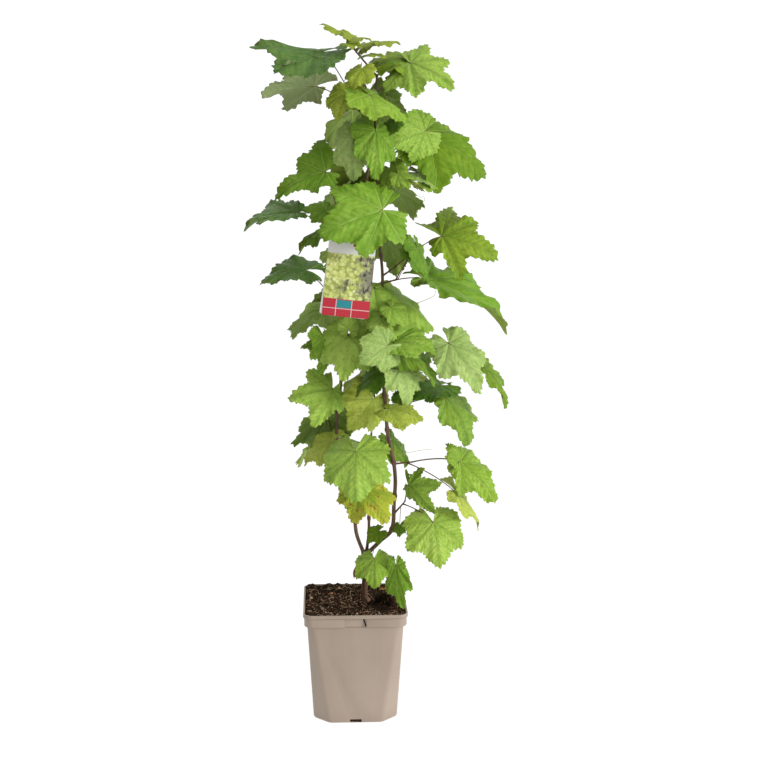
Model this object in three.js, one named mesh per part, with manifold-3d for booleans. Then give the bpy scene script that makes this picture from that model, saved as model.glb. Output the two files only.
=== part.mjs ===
// A young grapevine in a square nursery pot: pot, soil, trunk, canes, foliage and a hanging card.
// Millimetres, +Z up. The origin is the centre of the pot's underside, the pot's front faces -Y
// and +X is to the right. A heading is an angle in degrees from +X towards +Y.
import * as THREE from 'three';
import { mergeVertices } from 'three/addons/utils/BufferGeometryUtils.js';
import Module from 'manifold-3d';

const wasm = await Module();
wasm.setup();

// Pot
const RIM_WIDTH = 180;
const POT_HEIGHT = 200;
const BODY_TOP_WIDTH = 166;
const FOOT_WIDTH = 146;
const BAND_HEIGHT = 22;
const LIP_HEIGHT = 6;
const WALL = 2;
const FLOOR = 3;
const STEP = 2;
const TOP_CORNER = 12;
const FOOT_CORNER = 34;
const PANEL_WIDTH = 37;
const SLOT_WIDTH = 20;
const SLOT_HEIGHT = 6;
const SLOT_RUN = 12;

// Soil and trunk
const CLEARANCE = 0.3;
const SOIL_LEVEL = 195.5;
const SOIL_MOUND = 4;
const SOIL_ROUGHNESS = 3;
const SOIL_SEED = 31;
const TRUNK_RADIUS = 5.5;
const FORK_HEIGHT = 282;

// Leaves
const LEAF_THICKNESS = 1.8;
const SMALL_LEAF = 45;
const PETIOLE_RADIUS = 1.3;
const STEM_RADIUS = 2;

// Leaves on the far side, dealt out by a seeded rule
const BACK_SEED = 7;
const BACK_SPREAD = 36;
const BACK_LEAF = [76, 98];
const BACK_STALK = [35, 65];
const BACK_DROOP = [30, 55];

// Card
const CARD_WIDTH = 78;
const CARD_HEIGHT = 130;
const CARD_THICKNESS = 1.2;
const CARD_LEAN = 6;
const STRAP_RADIUS = 1.2;

const COLOURS = {
  pot: 0xae9e8c,
  soil: 0x3a281c,
  bark: 0x6b4a38,
  leaf: 0x6a9a38,
  card: 0xe4e2d6,
  strap: 0xf2f2f0,
};

const rad = THREE.MathUtils.degToRad;

function material(colour, roughness) {
  return new THREE.MeshStandardMaterial({ color: colour, roughness, metalness: 0 });
}

function solidFrom(positions, faces) {
  return new wasm.Manifold(new wasm.Mesh({
    numProp: 3,
    vertProperties: Float32Array.from(positions.flatMap((p) => [p.x, p.y, p.z])),
    triVerts: Uint32Array.from(faces.flat()),
  }));
}

function solidFromGeometry(geometry) {
  const bare = geometry.clone();
  bare.deleteAttribute('normal');
  bare.deleteAttribute('uv');
  const merged = mergeVertices(bare, 1e-4);
  return new wasm.Manifold(new wasm.Mesh({
    numProp: 3,
    vertProperties: Float32Array.from(merged.attributes.position.array),
    triVerts: Uint32Array.from(merged.index.array),
  }));
}

function geometryFrom(solid) {
  const mesh = solid.getMesh();
  const geometry = new THREE.BufferGeometry();
  geometry.setAttribute('position', new THREE.BufferAttribute(Float32Array.from(mesh.vertProperties), 3));
  geometry.setIndex(new THREE.BufferAttribute(Uint32Array.from(mesh.triVerts), 1));
  geometry.computeVertexNormals();
  return geometry;
}

function block(width, depth, height, x, y, z) {
  return solidFromGeometry(new THREE.BoxGeometry(width, depth, height).translate(x, y, z));
}

// Park-Miller numbers between 0 and 1, so that the same seed always grows the same leaves
function seeded(seed) {
  let state = seed;
  return () => {
    state = (state * 16807) % 2147483647;
    return state / 2147483647;
  };
}

function direction(heading, rise) {
  const level = Math.cos(rad(rise));
  return new THREE.Vector3(
    level * Math.cos(rad(heading)),
    level * Math.sin(rad(heading)),
    Math.sin(rad(rise)),
  );
}

// A closed skin over rings that all have the same number of points, with a flat cap at each end
function loft(rings) {
  const count = rings[0].length;
  const faces = [];
  for (let k = 0; k < rings.length - 1; k += 1) {
    for (let i = 0; i < count; i += 1) {
      const a = k * count + i;
      const b = k * count + ((i + 1) % count);
      faces.push([a, b, b + count], [a, b + count, a + count]);
    }
  }
  const last = (rings.length - 1) * count;
  for (let i = 1; i < count - 1; i += 1) {
    faces.push([0, i + 1, i], [last, last + i, last + i + 1]);
  }
  return solidFrom(rings.flat(), faces);
}

// A tube of given radii along points, its rings square to the path
function tube(points, radii, sides) {
  const rings = [];
  let side = new THREE.Vector3(1, 0, 0);
  points.forEach((point, k) => {
    const before = points[Math.max(k - 1, 0)];
    const after = points[Math.min(k + 1, points.length - 1)];
    const along = after.clone().sub(before).normalize();
    side = side.clone().addScaledVector(along, -side.dot(along));
    if (side.length() < 0.1) {
      side = new THREE.Vector3(0, 1, 0).addScaledVector(along, -along.y);
    }
    side.normalize();
    const up = along.clone().cross(side);
    const ring = [];
    for (let i = 0; i < sides; i += 1) {
      const turn = (2 * Math.PI * i) / sides;
      ring.push(point.clone()
        .addScaledVector(side, radii[k] * Math.cos(turn))
        .addScaledVector(up, radii[k] * Math.sin(turn)));
    }
    rings.push(ring);
  });
  return loft(rings);
}

// A square ring with rounded corners, seen from above and running anticlockwise
function squareRing(width, corner, z) {
  const steps = 3;
  const ring = [];
  for (let quarter = 0; quarter < 4; quarter += 1) {
    for (let i = 0; i <= steps; i += 1) {
      const turn = rad(90 * quarter + (90 * i) / steps);
      const diagonal = rad(90 * quarter + 45);
      const centre = (width / 2 - corner) * Math.SQRT2;
      ring.push(new THREE.Vector3(
        centre * Math.cos(diagonal) + corner * Math.cos(turn),
        centre * Math.sin(diagonal) + corner * Math.sin(turn),
        z,
      ));
    }
  }
  return ring;
}

const bandFoot = POT_HEIGHT - BAND_HEIGHT;
const lipFoot = POT_HEIGHT - LIP_HEIGHT;
const bandWidth = RIM_WIDTH - 2 * STEP;

// The inside of the pot's wall, kept a given distance clear of it
function potCavity(clear, floor, top) {
  const shrink = 2 * (WALL + clear);
  const slope = (BODY_TOP_WIDTH - FOOT_WIDTH) / bandFoot;
  const widthAt = (z) => FOOT_WIDTH + slope * z - shrink;
  const cornerAt = (z) => FOOT_CORNER + ((TOP_CORNER - FOOT_CORNER) * z) / bandFoot - WALL - clear;
  return loft([
    squareRing(widthAt(floor), cornerAt(floor), floor),
    squareRing(widthAt(bandFoot), cornerAt(bandFoot), bandFoot),
    squareRing(widthAt(top), cornerAt(bandFoot), top),
  ]);
}

// A tapering square body whose corners open out towards the foot, with a band and a lip round the
// top. In the middle of the front the band stops short, and the body shows up to the lip.
function potSolid() {
  const body = loft([
    squareRing(FOOT_WIDTH - 2 * STEP, FOOT_CORNER - STEP, 0),
    squareRing(FOOT_WIDTH, FOOT_CORNER, FLOOR),
    squareRing(BODY_TOP_WIDTH, TOP_CORNER, bandFoot),
    squareRing(bandWidth - 2, TOP_CORNER + 2, bandFoot + 1),
    squareRing(bandWidth, TOP_CORNER + 3, lipFoot),
    squareRing(RIM_WIDTH, TOP_CORNER + 4, lipFoot + 1),
    squareRing(RIM_WIDTH, TOP_CORNER + 4, POT_HEIGHT - 1),
    squareRing(RIM_WIDTH - 2, TOP_CORNER + 3, POT_HEIGHT),
  ]);
  const recess = bandWidth - BODY_TOP_WIDTH - 1;
  const panel = block(PANEL_WIDTH, recess, lipFoot - bandFoot, 0, -bandWidth / 2, (lipFoot + bandFoot) / 2);
  let shell = body.subtract(panel).subtract(potCavity(0, FLOOR, POT_HEIGHT + 1));
  for (const [x, y] of [[0, -1], [0, 1], [1, 0], [-1, 0]]) {
    const width = x ? SLOT_RUN : SLOT_WIDTH;
    const depth = x ? SLOT_WIDTH : SLOT_RUN;
    const reach = (FOOT_WIDTH - SLOT_RUN) / 2 + STEP;
    shell = shell.subtract(block(width, depth, 2 * SLOT_HEIGHT, x * reach, y * reach, 0));
  }
  return shell;
}

// The soil rises to a low mound, with a rough top and a flat seat under the trunk
function soilSolid() {
  const random = seeded(SOIL_SEED);
  const rough = (ring, rise) => ring.map((p) => {
    p.z += rise + SOIL_ROUGHNESS * (random() - 0.5);
    return p;
  });
  const width = BODY_TOP_WIDTH - 2 * (WALL + CLEARANCE) - 3;
  const skirt = SOIL_LEVEL - 8;
  const filled = loft([
    squareRing(FOOT_WIDTH - 12, FOOT_CORNER - 4, FLOOR + CLEARANCE),
    squareRing(width - 1, TOP_CORNER, skirt),
    rough(squareRing(width, TOP_CORNER, SOIL_LEVEL), -1),
    rough(squareRing(width * 0.78, 30, SOIL_LEVEL), SOIL_MOUND * 0.6),
    rough(squareRing(width * 0.52, 28, SOIL_LEVEL), SOIL_MOUND),
    rough(squareRing(width * 0.25, 18, SOIL_LEVEL), SOIL_MOUND),
  ]);
  const seat = tube([
    new THREE.Vector3(TRUNK_PATH[0].x, TRUNK_PATH[0].y, SOIL_LEVEL),
    new THREE.Vector3(TRUNK_PATH[0].x, TRUNK_PATH[0].y, SOIL_LEVEL + 20),
  ], [2.2 * TRUNK_RADIUS, 2.2 * TRUNK_RADIUS], 12);
  const inside = potCavity(CLEARANCE, FLOOR + CLEARANCE, POT_HEIGHT + SOIL_MOUND + SOIL_ROUGHNESS);
  return filled.intersect(inside).subtract(seat);
}

const at = (x, y, z) => new THREE.Vector3(x, y, z);

// The trunk leans from the soil to its fork, where the canes part
const TRUNK_PATH = [
  at(18, 31, SOIL_LEVEL + CLEARANCE),
  at(17, 29, 205),
  at(21, 21, 245),
  at(21, 10, FORK_HEIGHT),
];

// Each cane: the points it passes, its radius at foot and tip, and the spacing of its nodes
const CANES = {
  cane_left: {
    path: [
      at(17, 8, 280), at(3, 5, 318), at(0, 3, 364), at(-20, -2, 440), at(-29, -3, 500), at(-26, -5, 560),
      at(-10, -7, 700), at(14, -9, 870), at(30, -11, 1000),
    ],
    foot: 3.3,
    tip: 1.8,
    internode: 68,
  },
  cane_right: {
    path: [
      at(24, 11, 281), at(46, 13, 303), at(66, 13, 322), at(71, 11, 380), at(69, 9, 450), at(57, 8, 510),
      at(52, 8, 600), at(49, 8, 760), at(40, 8, 915), at(36, 10, 1020), at(41, 12, 1108),
    ],
    foot: 3.6,
    tip: 1.8,
    internode: 62,
  },
  cane_middle: {
    path: [at(22, 17, 283), at(26, 20, 335), at(29, 18, 420), at(33, 17, 520), at(36, 18, 580)],
    foot: 2.6,
    tip: 1.4,
    internode: 60,
  },
};

function curveThrough(path) {
  return new THREE.CatmullRomCurve3(path, false, 'centripetal');
}

// A tapering cane that swells at each node
function caneSolid({ path, foot, tip, internode }, grow) {
  const curve = curveThrough(path);
  const length = curve.getLength();
  const nodes = Math.round(length / internode);
  const points = [];
  const radii = [];
  for (let n = 0; n < nodes; n += 1) {
    for (const [share, swell] of [[0, 1.3], [0.1, 1], [0.88, 1]]) {
      const t = (n + share) / nodes;
      points.push(curve.getPointAt(t));
      radii.push((foot + (tip - foot) * t) * swell + grow);
    }
  }
  points.push(curve.getPointAt(1));
  radii.push(tip + grow);
  return tube(points, radii, 6);
}

function trunkSolid(grow) {
  const curve = curveThrough(TRUNK_PATH);
  const points = [];
  const radii = [];
  for (const [t, share] of [[0, 1.9], [0.06, 1.35], [0.18, 1.05], [0.5, 0.95], [0.8, 1.05], [1, 1.3]]) {
    const point = curve.getPoint(t);
    points.push(point);
    radii.push(TRUNK_RADIUS * share + grow);
  }
  const limb = tube(points, radii, 10);
  const below = block(80, 80, 40, points[0].x, points[0].y, TRUNK_PATH[0].z - grow - 20);
  return limb.subtract(below);
}

// The point of a limb's curve at a given height
function pointAtHeight(path, height) {
  const curve = curveThrough(path);
  let low = 0;
  let high = 1;
  for (let i = 0; i < 30; i += 1) {
    const middle = (low + high) / 2;
    if (curve.getPoint(middle).z < height) {
      low = middle;
    } else {
      high = middle;
    }
  }
  return curve.getPoint(low);
}

// Half a vine leaf: angle from the midrib and reach as a share of the blade's length
const LEAF_OUTLINE = [
  [0, 1], [13, 0.87], [28, 0.76], [50, 0.88], [74, 0.71], [97, 0.72], [123, 0.6], [157, 0.44],
];
const SMALL_OUTLINE = [[0, 1], [25, 0.75], [50, 0.85], [95, 0.6], [155, 0.4]];
const LOBE_ANGLES = [-97, -50, 0, 50, 97];
// The lobes' tips and the ends beside the stalk keep their reach, however deep the bays are
const FIRM_ANGLES = [0, 50, 95, 97, 155, 157];

// A leaf blade: where its stalk joins, its length, the heading and droop of its midrib and its roll.
// Its form is how far it arches along the midrib, cups and folds across it, curls down at its margin
// and favours one side, its width, the depth of its bays, and the reach of the lobes at each side.
function leaf(junction, length, heading, droop, roll, form = {}) {
  const plain = {
    arch: 0.2, cup: 0.15, fold: 0.08, curl: 0.16, skew: 0, wide: 0.86, lobes: 1.1, reach: [1, 1, 1, 1],
  };
  return { junction, length, heading, droop, roll, ...plain, ...form };
}

// How far the blade reaches at an angle, by steps between its lobes, against a plain blade
function lobeShare({ reach, skew }, angle) {
  const shares = [reach[0], reach[1], 1, reach[2], reach[3]];
  const inside = THREE.MathUtils.clamp(angle, LOBE_ANGLES[0], LOBE_ANGLES.at(-1));
  const next = Math.max(LOBE_ANGLES.findIndex((stop) => inside <= stop), 1);
  const [low, high] = [LOBE_ANGLES[next - 1], LOBE_ANGLES[next]];
  const share = THREE.MathUtils.mapLinear(inside, low, high, shares[next - 1], shares[next]);
  return share * (1 + skew * Math.sign(angle) * Math.min(Math.abs(angle) / 60, 1));
}

function leafFrame({ heading, droop, roll }) {
  const midrib = direction(heading, -droop);
  const level = new THREE.Vector3(-Math.sin(rad(heading)), Math.cos(rad(heading)), 0);
  const upright = midrib.clone().cross(level);
  const across = level.multiplyScalar(Math.cos(rad(roll))).addScaledVector(upright, Math.sin(rad(roll)));
  return { midrib, across, normal: midrib.clone().cross(across) };
}

// The blade's skin fans out from its stalk and from a point half way along each of three main veins
const VEIN_ANGLES = [-50, 0, 50];
const VEIN_REACH = 0.45;

function hubOf(angle) {
  const vein = VEIN_ANGLES.findIndex((middle) => Math.abs(angle - middle) < 25);
  return vein + 1;
}

// A point of the blade at an angle and reach from its stalk, off its middle surface by a height
function bladePoint(blade, angle, reach, height) {
  const { midrib, across, normal } = leafFrame(blade);
  const far = reach * lobeShare(blade, angle);
  const x = far * Math.cos(rad(angle));
  const y = far * Math.sin(rad(angle)) * blade.wide;
  const beyond = Math.max(Math.hypot(x, y) - 0.5, 0);
  const lift = blade.arch * (x - x * x) - blade.cup * y * y - blade.fold * Math.abs(y)
    - blade.curl * beyond * beyond;
  return blade.junction.clone()
    .addScaledVector(midrib, x * blade.length)
    .addScaledVector(across, y * blade.length)
    .addScaledVector(normal, lift * blade.length + height);
}

function leafSolid(blade) {
  const plain = blade.length < SMALL_LEAF ? SMALL_OUTLINE : LEAF_OUTLINE;
  const half = plain.map(([angle, reach]) => (
    [angle, FIRM_ANGLES.includes(angle) ? reach : 1 - (1 - reach) * blade.lobes]
  ));
  const outline = [...half.slice(1).reverse().map(([angle, reach]) => [-angle, reach]), ...half];
  const hubs = [[0, 0], ...VEIN_ANGLES.map((angle) => [angle, VEIN_REACH])];
  const corners = [...hubs, ...outline];
  const skin = (height) => corners.map(([angle, reach]) => bladePoint(blade, angle, reach, height));
  const first = hubs.length;
  const top = [[0, 1, 2], [0, 2, 3]];
  let hub = 0;
  for (let i = 0; i < outline.length - 1; i += 1) {
    const next = hubOf((outline[i][0] + outline[i + 1][0]) / 2);
    if (next !== hub) {
      top.push([hub, first + i, next]);
    }
    top.push([next, first + i, first + i + 1]);
    hub = next;
  }
  const under = corners.length;
  const faces = [...top, ...top.map(([a, b, c]) => [a + under, c + under, b + under])];
  const rim = [...outline.map((_, i) => first + i), 0];
  rim.forEach((a, k) => {
    const b = rim[(k + 1) % rim.length];
    faces.push([a, a + under, b + under], [a, b + under, b]);
  });
  return solidFrom([...skin(LEAF_THICKNESS / 2), ...skin(-LEAF_THICKNESS / 2)], faces);
}

// Where a stalk can end inside the blade: its share of the blade's length and the angles tried
const STALK_END = 0.14;
const STALK_ANGLES = [0, -60, 60, -120, 120];

// A leaf stalk that rises in a low arch from the stem and runs on into the blade without doubling back
function petioleSolid(start, blade) {
  const under = bladePoint(blade, 0, 0, -2 * PETIOLE_RADIUS);
  const bend = start.clone().lerp(under, 0.6);
  bend.z += 0.12 * start.distanceTo(under);
  const curve = new THREE.QuadraticBezierCurve3(start, bend, under);
  const arrival = curve.getTangent(1);
  const ahead = (angle) => bladePoint(blade, angle, STALK_END, 0).sub(under).normalize().dot(arrival);
  const angle = STALK_ANGLES.reduce((best, next) => (ahead(next) > ahead(best) ? next : best));
  const points = [...[0, 0.45, 1].map((t) => curve.getPoint(t)), bladePoint(blade, angle, STALK_END, 0)];
  const radii = [1.2, 1, 0.9, 0.5].map((share) => share * PETIOLE_RADIUS);
  return tube(points, radii, 3);
}

// Cutting can leave a scrap loose from the rest, which is dropped
function largestPiece(solid) {
  return solid.decompose().reduce((best, piece) => (piece.volume() > best.volume() ? piece : best));
}

// A mass of foliage: one short stem that leaves a limb, with stalks and leaves fused to it
function massSolid({ limb, height, heading, rise, reach, leaves }) {
  const root = pointAtHeight(limb, height);
  const tip = root.clone().addScaledVector(direction(heading, rise), reach);
  let solid = tube([root, tip], [STEM_RADIUS, 0.8 * STEM_RADIUS], 5);
  leaves.forEach((blade, i) => {
    const start = root.clone().lerp(tip, 1 - (0.4 * i) / leaves.length);
    solid = solid.add(petioleSolid(start, blade)).add(leafSolid(blade));
  });
  return solid;
}

const { cane_left: LEFT, cane_right: RIGHT } = CANES;

// Foliage in its own space by mass: its stem on a limb, then its leaves from the top down
const MASSES = {
  crown_left: {
    limb: RIGHT.path, height: 1005, heading: 175, rise: 60, reach: 60,
    leaves: [
      leaf(at(-51, 10, 1147), 118, 175, -6, -20, { arch: -0.15, cup: 0.05, fold: 0.18, lobes: 1.3 }),
      leaf(at(-63, 20, 1089), 92, -170, 8, 48, {
        arch: 0.15, cup: 0, fold: -0.1, lobes: 1.5, reach: [0.5, 0.95, 1, 1],
      }),
    ],
  },
  crown_tip: {
    limb: RIGHT.path, height: 1104, heading: 190, rise: 48, reach: 66,
    leaves: [
      leaf(at(-26, -10, 1178), 30, 175, -18, -10),
      leaf(at(1, 6, 1169), 36, -168, -14, -24),
      leaf(at(2, -8, 1165), 30, -20, 5, 15),
      leaf(at(-11, -16, 1156), 27, -10, 12, 10),
      leaf(at(16, 14, 1152), 32, 17, -24, 15),
      leaf(at(45, -6, 1160), 34, -5, 7, 10),
    ],
  },
  crown_front: {
    limb: RIGHT.path, height: 1048, heading: -115, rise: 25, reach: 32,
    leaves: [
      leaf(at(13, -35, 1115), 42, -130, 54, -10),
      leaf(at(-9, -20, 1075), 52, -128, 56, -12, { cup: 0.05, fold: -0.15 }),
      leaf(at(27, -40, 1073), 78, -25, 37, 12, { skew: -0.1, lobes: 1.3 }),
    ],
  },
  crown_right: {
    limb: RIGHT.path, height: 1076, heading: 5, rise: 45, reach: 34,
    leaves: [
      leaf(at(94, -10, 1126), 88, -30, 26, 42, { skew: -0.05, lobes: 1.5 }),
      leaf(at(92, 10, 1131), 72, 160, 0, -25),
      leaf(at(86, 14, 1115), 36, -28, 58, 20),
    ],
  },
  upper_right: {
    limb: RIGHT.path, height: 955, heading: 0, rise: 35, reach: 46,
    leaves: [
      leaf(at(123, 12, 1016), 128, 0, 38, 45, { skew: -0.15, lobes: 1.3, reach: [0.8, 0.9, 0.97, 0.6] }),
      leaf(at(119, -20, 1014), 66, -160, 18, -80),
      leaf(at(61, -12, 953), 42, -53, 45, 60),
      leaf(at(108, -12, 946), 50, 0, 27, 20),
    ],
  },
  upper_front: {
    limb: RIGHT.path, height: 985, heading: -100, rise: 10, reach: 34,
    leaves: [
      leaf(at(0, -42, 1004), 72, -100, 80, 10, { wide: 0.7 }),
      leaf(at(36, -54, 1015), 80, -88, 68, -10, {
        wide: 0.65, cup: 0.2, fold: 0.3, reach: [1, 1, 0.95, 0.7],
      }),
    ],
  },
  upper_left: {
    limb: LEFT.path, height: 800, heading: 175, rise: 62, reach: 44,
    leaves: [
      leaf(at(-47, 0, 948), 97, 180, 24, -58, { arch: 0.45, lobes: 1.6, reach: [1.15, 0.65, 0.6, 0.5] }),
      leaf(at(-96, 0, 880), 94, 172, 14, -20, { fold: -0.2, cup: 0, reach: [0.4, 1, 1, 0.4] }),
      leaf(at(-46, -46, 884), 38, 168, -5, -47),
      leaf(at(-32, 12, 862), 82, 176, 38, -12, { wide: 0.5 }),
    ],
  },
  front: {
    limb: RIGHT.path, height: 862, heading: -95, rise: 20, reach: 44,
    leaves: [
      leaf(at(46, -85, 888), 112, -165, 19, -65, { lobes: 1.3, reach: [0.85, 0.95, 0.9, 0.85] }),
    ],
  },
  left_reach: {
    limb: LEFT.path, height: 708, heading: 165, rise: 40, reach: 28,
    leaves: [
      leaf(at(-82, -10, 784), 80, 178, 12, -28, { arch: 0.3, wide: 0.85, reach: [1, 0.9, 0.6, 0.7] }),
    ],
  },
  right_upper: {
    limb: RIGHT.path, height: 770, heading: 0, rise: 35, reach: 26,
    leaves: [
      leaf(at(150, 0, 839), 101, -11, 17, 54, {
        wide: 0.9, fold: 0.2, lobes: 1.8, reach: [0.5, 0.9, 0.85, 1.3],
      }),
    ],
  },
  right_reach: {
    limb: RIGHT.path, height: 758, heading: -8, rise: 15, reach: 28,
    leaves: [
      leaf(at(106, -24, 819), 44, -168, -27, -44),
      leaf(at(107, -40, 820), 58, -28, 73, 0, { wide: 0.7 }),
      leaf(at(124, -10, 767), 162, -8, 28, 14, { fold: -0.25, lobes: 1.4, reach: [0.3, 0.85, 0.9, 0.6] }),
    ],
  },
  centre: {
    limb: RIGHT.path, height: 705, heading: -80, rise: 15, reach: 30,
    leaves: [
      leaf(at(34, -16, 755), 122, -12, 30, 30, { fold: 0.5, wide: 1, reach: [0.25, 1, 0.9, 0.4] }),
      leaf(at(66, -64, 669), 70, -13, 8, 28, { fold: -0.1 }),
      leaf(at(54, -97, 666), 58, -150, 25, -70, { wide: 0.85 }),
    ],
  },
  centre_low: {
    limb: RIGHT.path, height: 618, heading: -85, rise: 15, reach: 32,
    leaves: [
      leaf(at(72, -42, 655), 90, -30, 33, 10, { reach: [0.65, 0.9, 0.95, 0.7] }),
      leaf(at(74, -77, 625), 64, -60, 58, -10),
      leaf(at(51, -30, 616), 66, -170, 37, -17),
    ],
  },
  left_centre: {
    limb: LEFT.path, height: 640, heading: -110, rise: 25, reach: 30,
    leaves: [
      leaf(at(-9, -34, 677), 90, -100, 50, -10, { wide: 0.7, cup: 0.2, fold: 0.35 }),
      leaf(at(-9, -40, 684), 30, 90, -75, 0),
      leaf(at(-50, -20, 665), 58, -100, 68, -50, { wide: 0.7 }),
    ],
  },
  left_low: {
    limb: LEFT.path, height: 545, heading: -150, rise: 40, reach: 24,
    leaves: [
      leaf(at(-36, -20, 582), 80, -125, 45, -50, { wide: 0.95, lobes: 1.5, reach: [0.9, 1.1, 0.6, 0.6] }),
      leaf(at(33, -2, 560), 72, -145, 42, -80),
    ],
  },
  right_centre: {
    limb: RIGHT.path, height: 640, heading: -5, rise: 10, reach: 36,
    leaves: [
      leaf(at(160, -40, 662), 100, -40, 50, 25, { reach: [0.6, 0.8, 0.9, 0.75] }),
      leaf(at(226, 0, 613), 78, -25, 54, 5, { reach: [0.4, 0.6, 0.9, 0.8] }),
    ],
  },
  right_hanging: {
    limb: RIGHT.path, height: 535, heading: 0, rise: 20, reach: 30,
    leaves: [
      leaf(at(149, 0, 583), 68, -160, 18, -12),
      leaf(at(159, 0, 561), 91, -39, 54, 1, { wide: 1, reach: [0.5, 0.65, 1, 0.9] }),
    ],
  },
  low_front: {
    limb: LEFT.path, height: 440, heading: -100, rise: 40, reach: 28,
    leaves: [
      leaf(at(0, -80, 485), 86, -92, 58, 8, { wide: 0.9, fold: 0.25 }),
      leaf(at(-40, -20, 490), 62, 180, 35, -24),
    ],
  },
  low_centre: {
    limb: RIGHT.path, height: 470, heading: -120, rise: 10, reach: 22,
    leaves: [
      leaf(at(56, -60, 554), 62, -5, 16, 22, { fold: 0.15, reach: [0.8, 1, 1, 0.6] }),
      leaf(at(68, 35, 478), 54, 0, 60, 28),
      leaf(at(7, -52, 414), 82, -45, 35, 30, { wide: 0.75, reach: [0.85, 1, 1, 0.85] }),
    ],
  },
  low_right: {
    limb: RIGHT.path, height: 352, heading: -20, rise: 50, reach: 30,
    leaves: [
      leaf(at(93, -12, 409), 68, -35, 40, 75, { fold: 0.2, lobes: 2, reach: [0.3, 0.4, 1.05, 0.95] }),
      leaf(at(134, -50, 353), 77, -78, 58, 8, { wide: 0.9, fold: 0.15 }),
    ],
  },
  low_reach: {
    limb: RIGHT.path, height: 442, heading: 0, rise: 5, reach: 30,
    leaves: [
      leaf(at(185, 0, 448), 94, -20, 46, 30, { wide: 0.8, reach: [0.45, 0.8, 0.8, 0.85] }),
      leaf(at(180, -6, 451), 34, 180, -60, -37),
      leaf(at(180, -20, 394), 74, -5, 56, 10, { wide: 1, reach: [0.5, 0.7, 1.1, 1.1] }),
    ],
  },
  foot: {
    limb: TRUNK_PATH, height: 262, heading: -70, rise: 20, reach: 24,
    leaves: [
      leaf(at(43, -12, 327), 29, -165, 37, -35),
      leaf(at(33, -50, 290), 54, -91, 44, 5, { wide: 0.85, fold: 0.3 }),
      leaf(at(69, -70, 283), 74, -70, 68, 40, { wide: 0.5, reach: [0.5, 1, 0.95, 0.5] }),
    ],
  },
};

// The far side of the vine: stems at even heights, each with leaves spread round its back
const BACK_STEMS = [
  ['back_crown', RIGHT.path, 1036, 97],
  ['back_upper', LEFT.path, 900, 84],
  ['back_shoulder', RIGHT.path, 814, 106],
  ['back_middle', LEFT.path, 690, 100],
  ['back_waist', RIGHT.path, 585, 95],
  ['back_low', LEFT.path, 465, 105],
];

function backMasses() {
  const random = seeded(BACK_SEED);
  const between = (low, high) => low + (high - low) * random();
  const masses = {};
  for (const [name, limb, height, heading] of BACK_STEMS) {
    const stem = { limb, height, heading, rise: 20, reach: 30 };
    const tip = pointAtHeight(limb, height).addScaledVector(direction(heading, stem.rise), stem.reach);
    stem.leaves = [-1, 0, 1].map((side) => {
      const turn = heading + BACK_SPREAD * side + between(-5, 5);
      const lift = 25 * (1 - side * side) + between(0, 20);
      const junction = tip.clone().addScaledVector(direction(turn, lift), between(...BACK_STALK));
      return leaf(junction, between(...BACK_LEAF), turn, between(...BACK_DROOP), between(-15, 15));
    });
    masses[name] = stem;
  }
  return masses;
}

// The card hangs in front of the canes, turned a little clockwise
const CARD_CENTRE = at(-9, -72, 775);

function cardSolid() {
  const card = new THREE.BoxGeometry(CARD_WIDTH, CARD_THICKNESS, CARD_HEIGHT);
  card.rotateY(rad(CARD_LEAN));
  card.translate(CARD_CENTRE.x, CARD_CENTRE.y, CARD_CENTRE.z);
  return solidFromGeometry(card);
}

// A flat strap from the top of the card, behind it, to the left cane
function strapSolid() {
  const top = CARD_CENTRE.clone().add(at(
    Math.sin(rad(CARD_LEAN)) * (CARD_HEIGHT / 2 - 8),
    CARD_THICKNESS / 2 + CLEARANCE + STRAP_RADIUS,
    CARD_HEIGHT / 2 - 8,
  ));
  const cane = pointAtHeight(LEFT.path, top.z + 40);
  const points = [top.clone().add(at(0, 0, -6)), top, top.clone().lerp(cane, 0.35).add(at(0, 0, 10)), cane];
  return tube(points, points.map(() => STRAP_RADIUS), 4);
}

const vine = new THREE.Group();

function addPart(name, solid, colour, roughness) {
  const mesh = new THREE.Mesh(geometryFrom(solid), material(colour, roughness));
  mesh.name = name;
  vine.add(mesh);
}

// Limbs, each cut clear of the ones before it, and the space that foliage keeps off
const grow = 1.2 * CLEARANCE;
let limbSpace = trunkSolid(grow);
addPart('pot', potSolid(), COLOURS.pot, 0.6);
addPart('soil', soilSolid(), COLOURS.soil, 1);
addPart('trunk', trunkSolid(0), COLOURS.bark, 0.9);
for (const [name, cane] of Object.entries(CANES)) {
  addPart(name, caneSolid(cane, 0).subtract(limbSpace), COLOURS.bark, 0.85);
  limbSpace = limbSpace.add(caneSolid(cane, grow));
}
for (const [name, mass] of Object.entries({ ...MASSES, ...backMasses() })) {
  addPart(`foliage_${name}`, largestPiece(massSolid(mass).subtract(limbSpace)), COLOURS.leaf, 0.6);
}
addPart('card', cardSolid(), COLOURS.card, 0.4);
addPart('card_strap', strapSolid().subtract(limbSpace), COLOURS.strap, 0.5);

export default vine;
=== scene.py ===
# A young grapevine in a square nursery pot, dressed over its solid model.
# Lengths are named in millimetres and MM makes them metres. A heading is an angle in degrees from
# +X towards +Y. The pot's front faces -Y.
import itertools
import math

import bmesh
import bpy
import numpy as np
from mathutils import Matrix, Vector, noise


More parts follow.
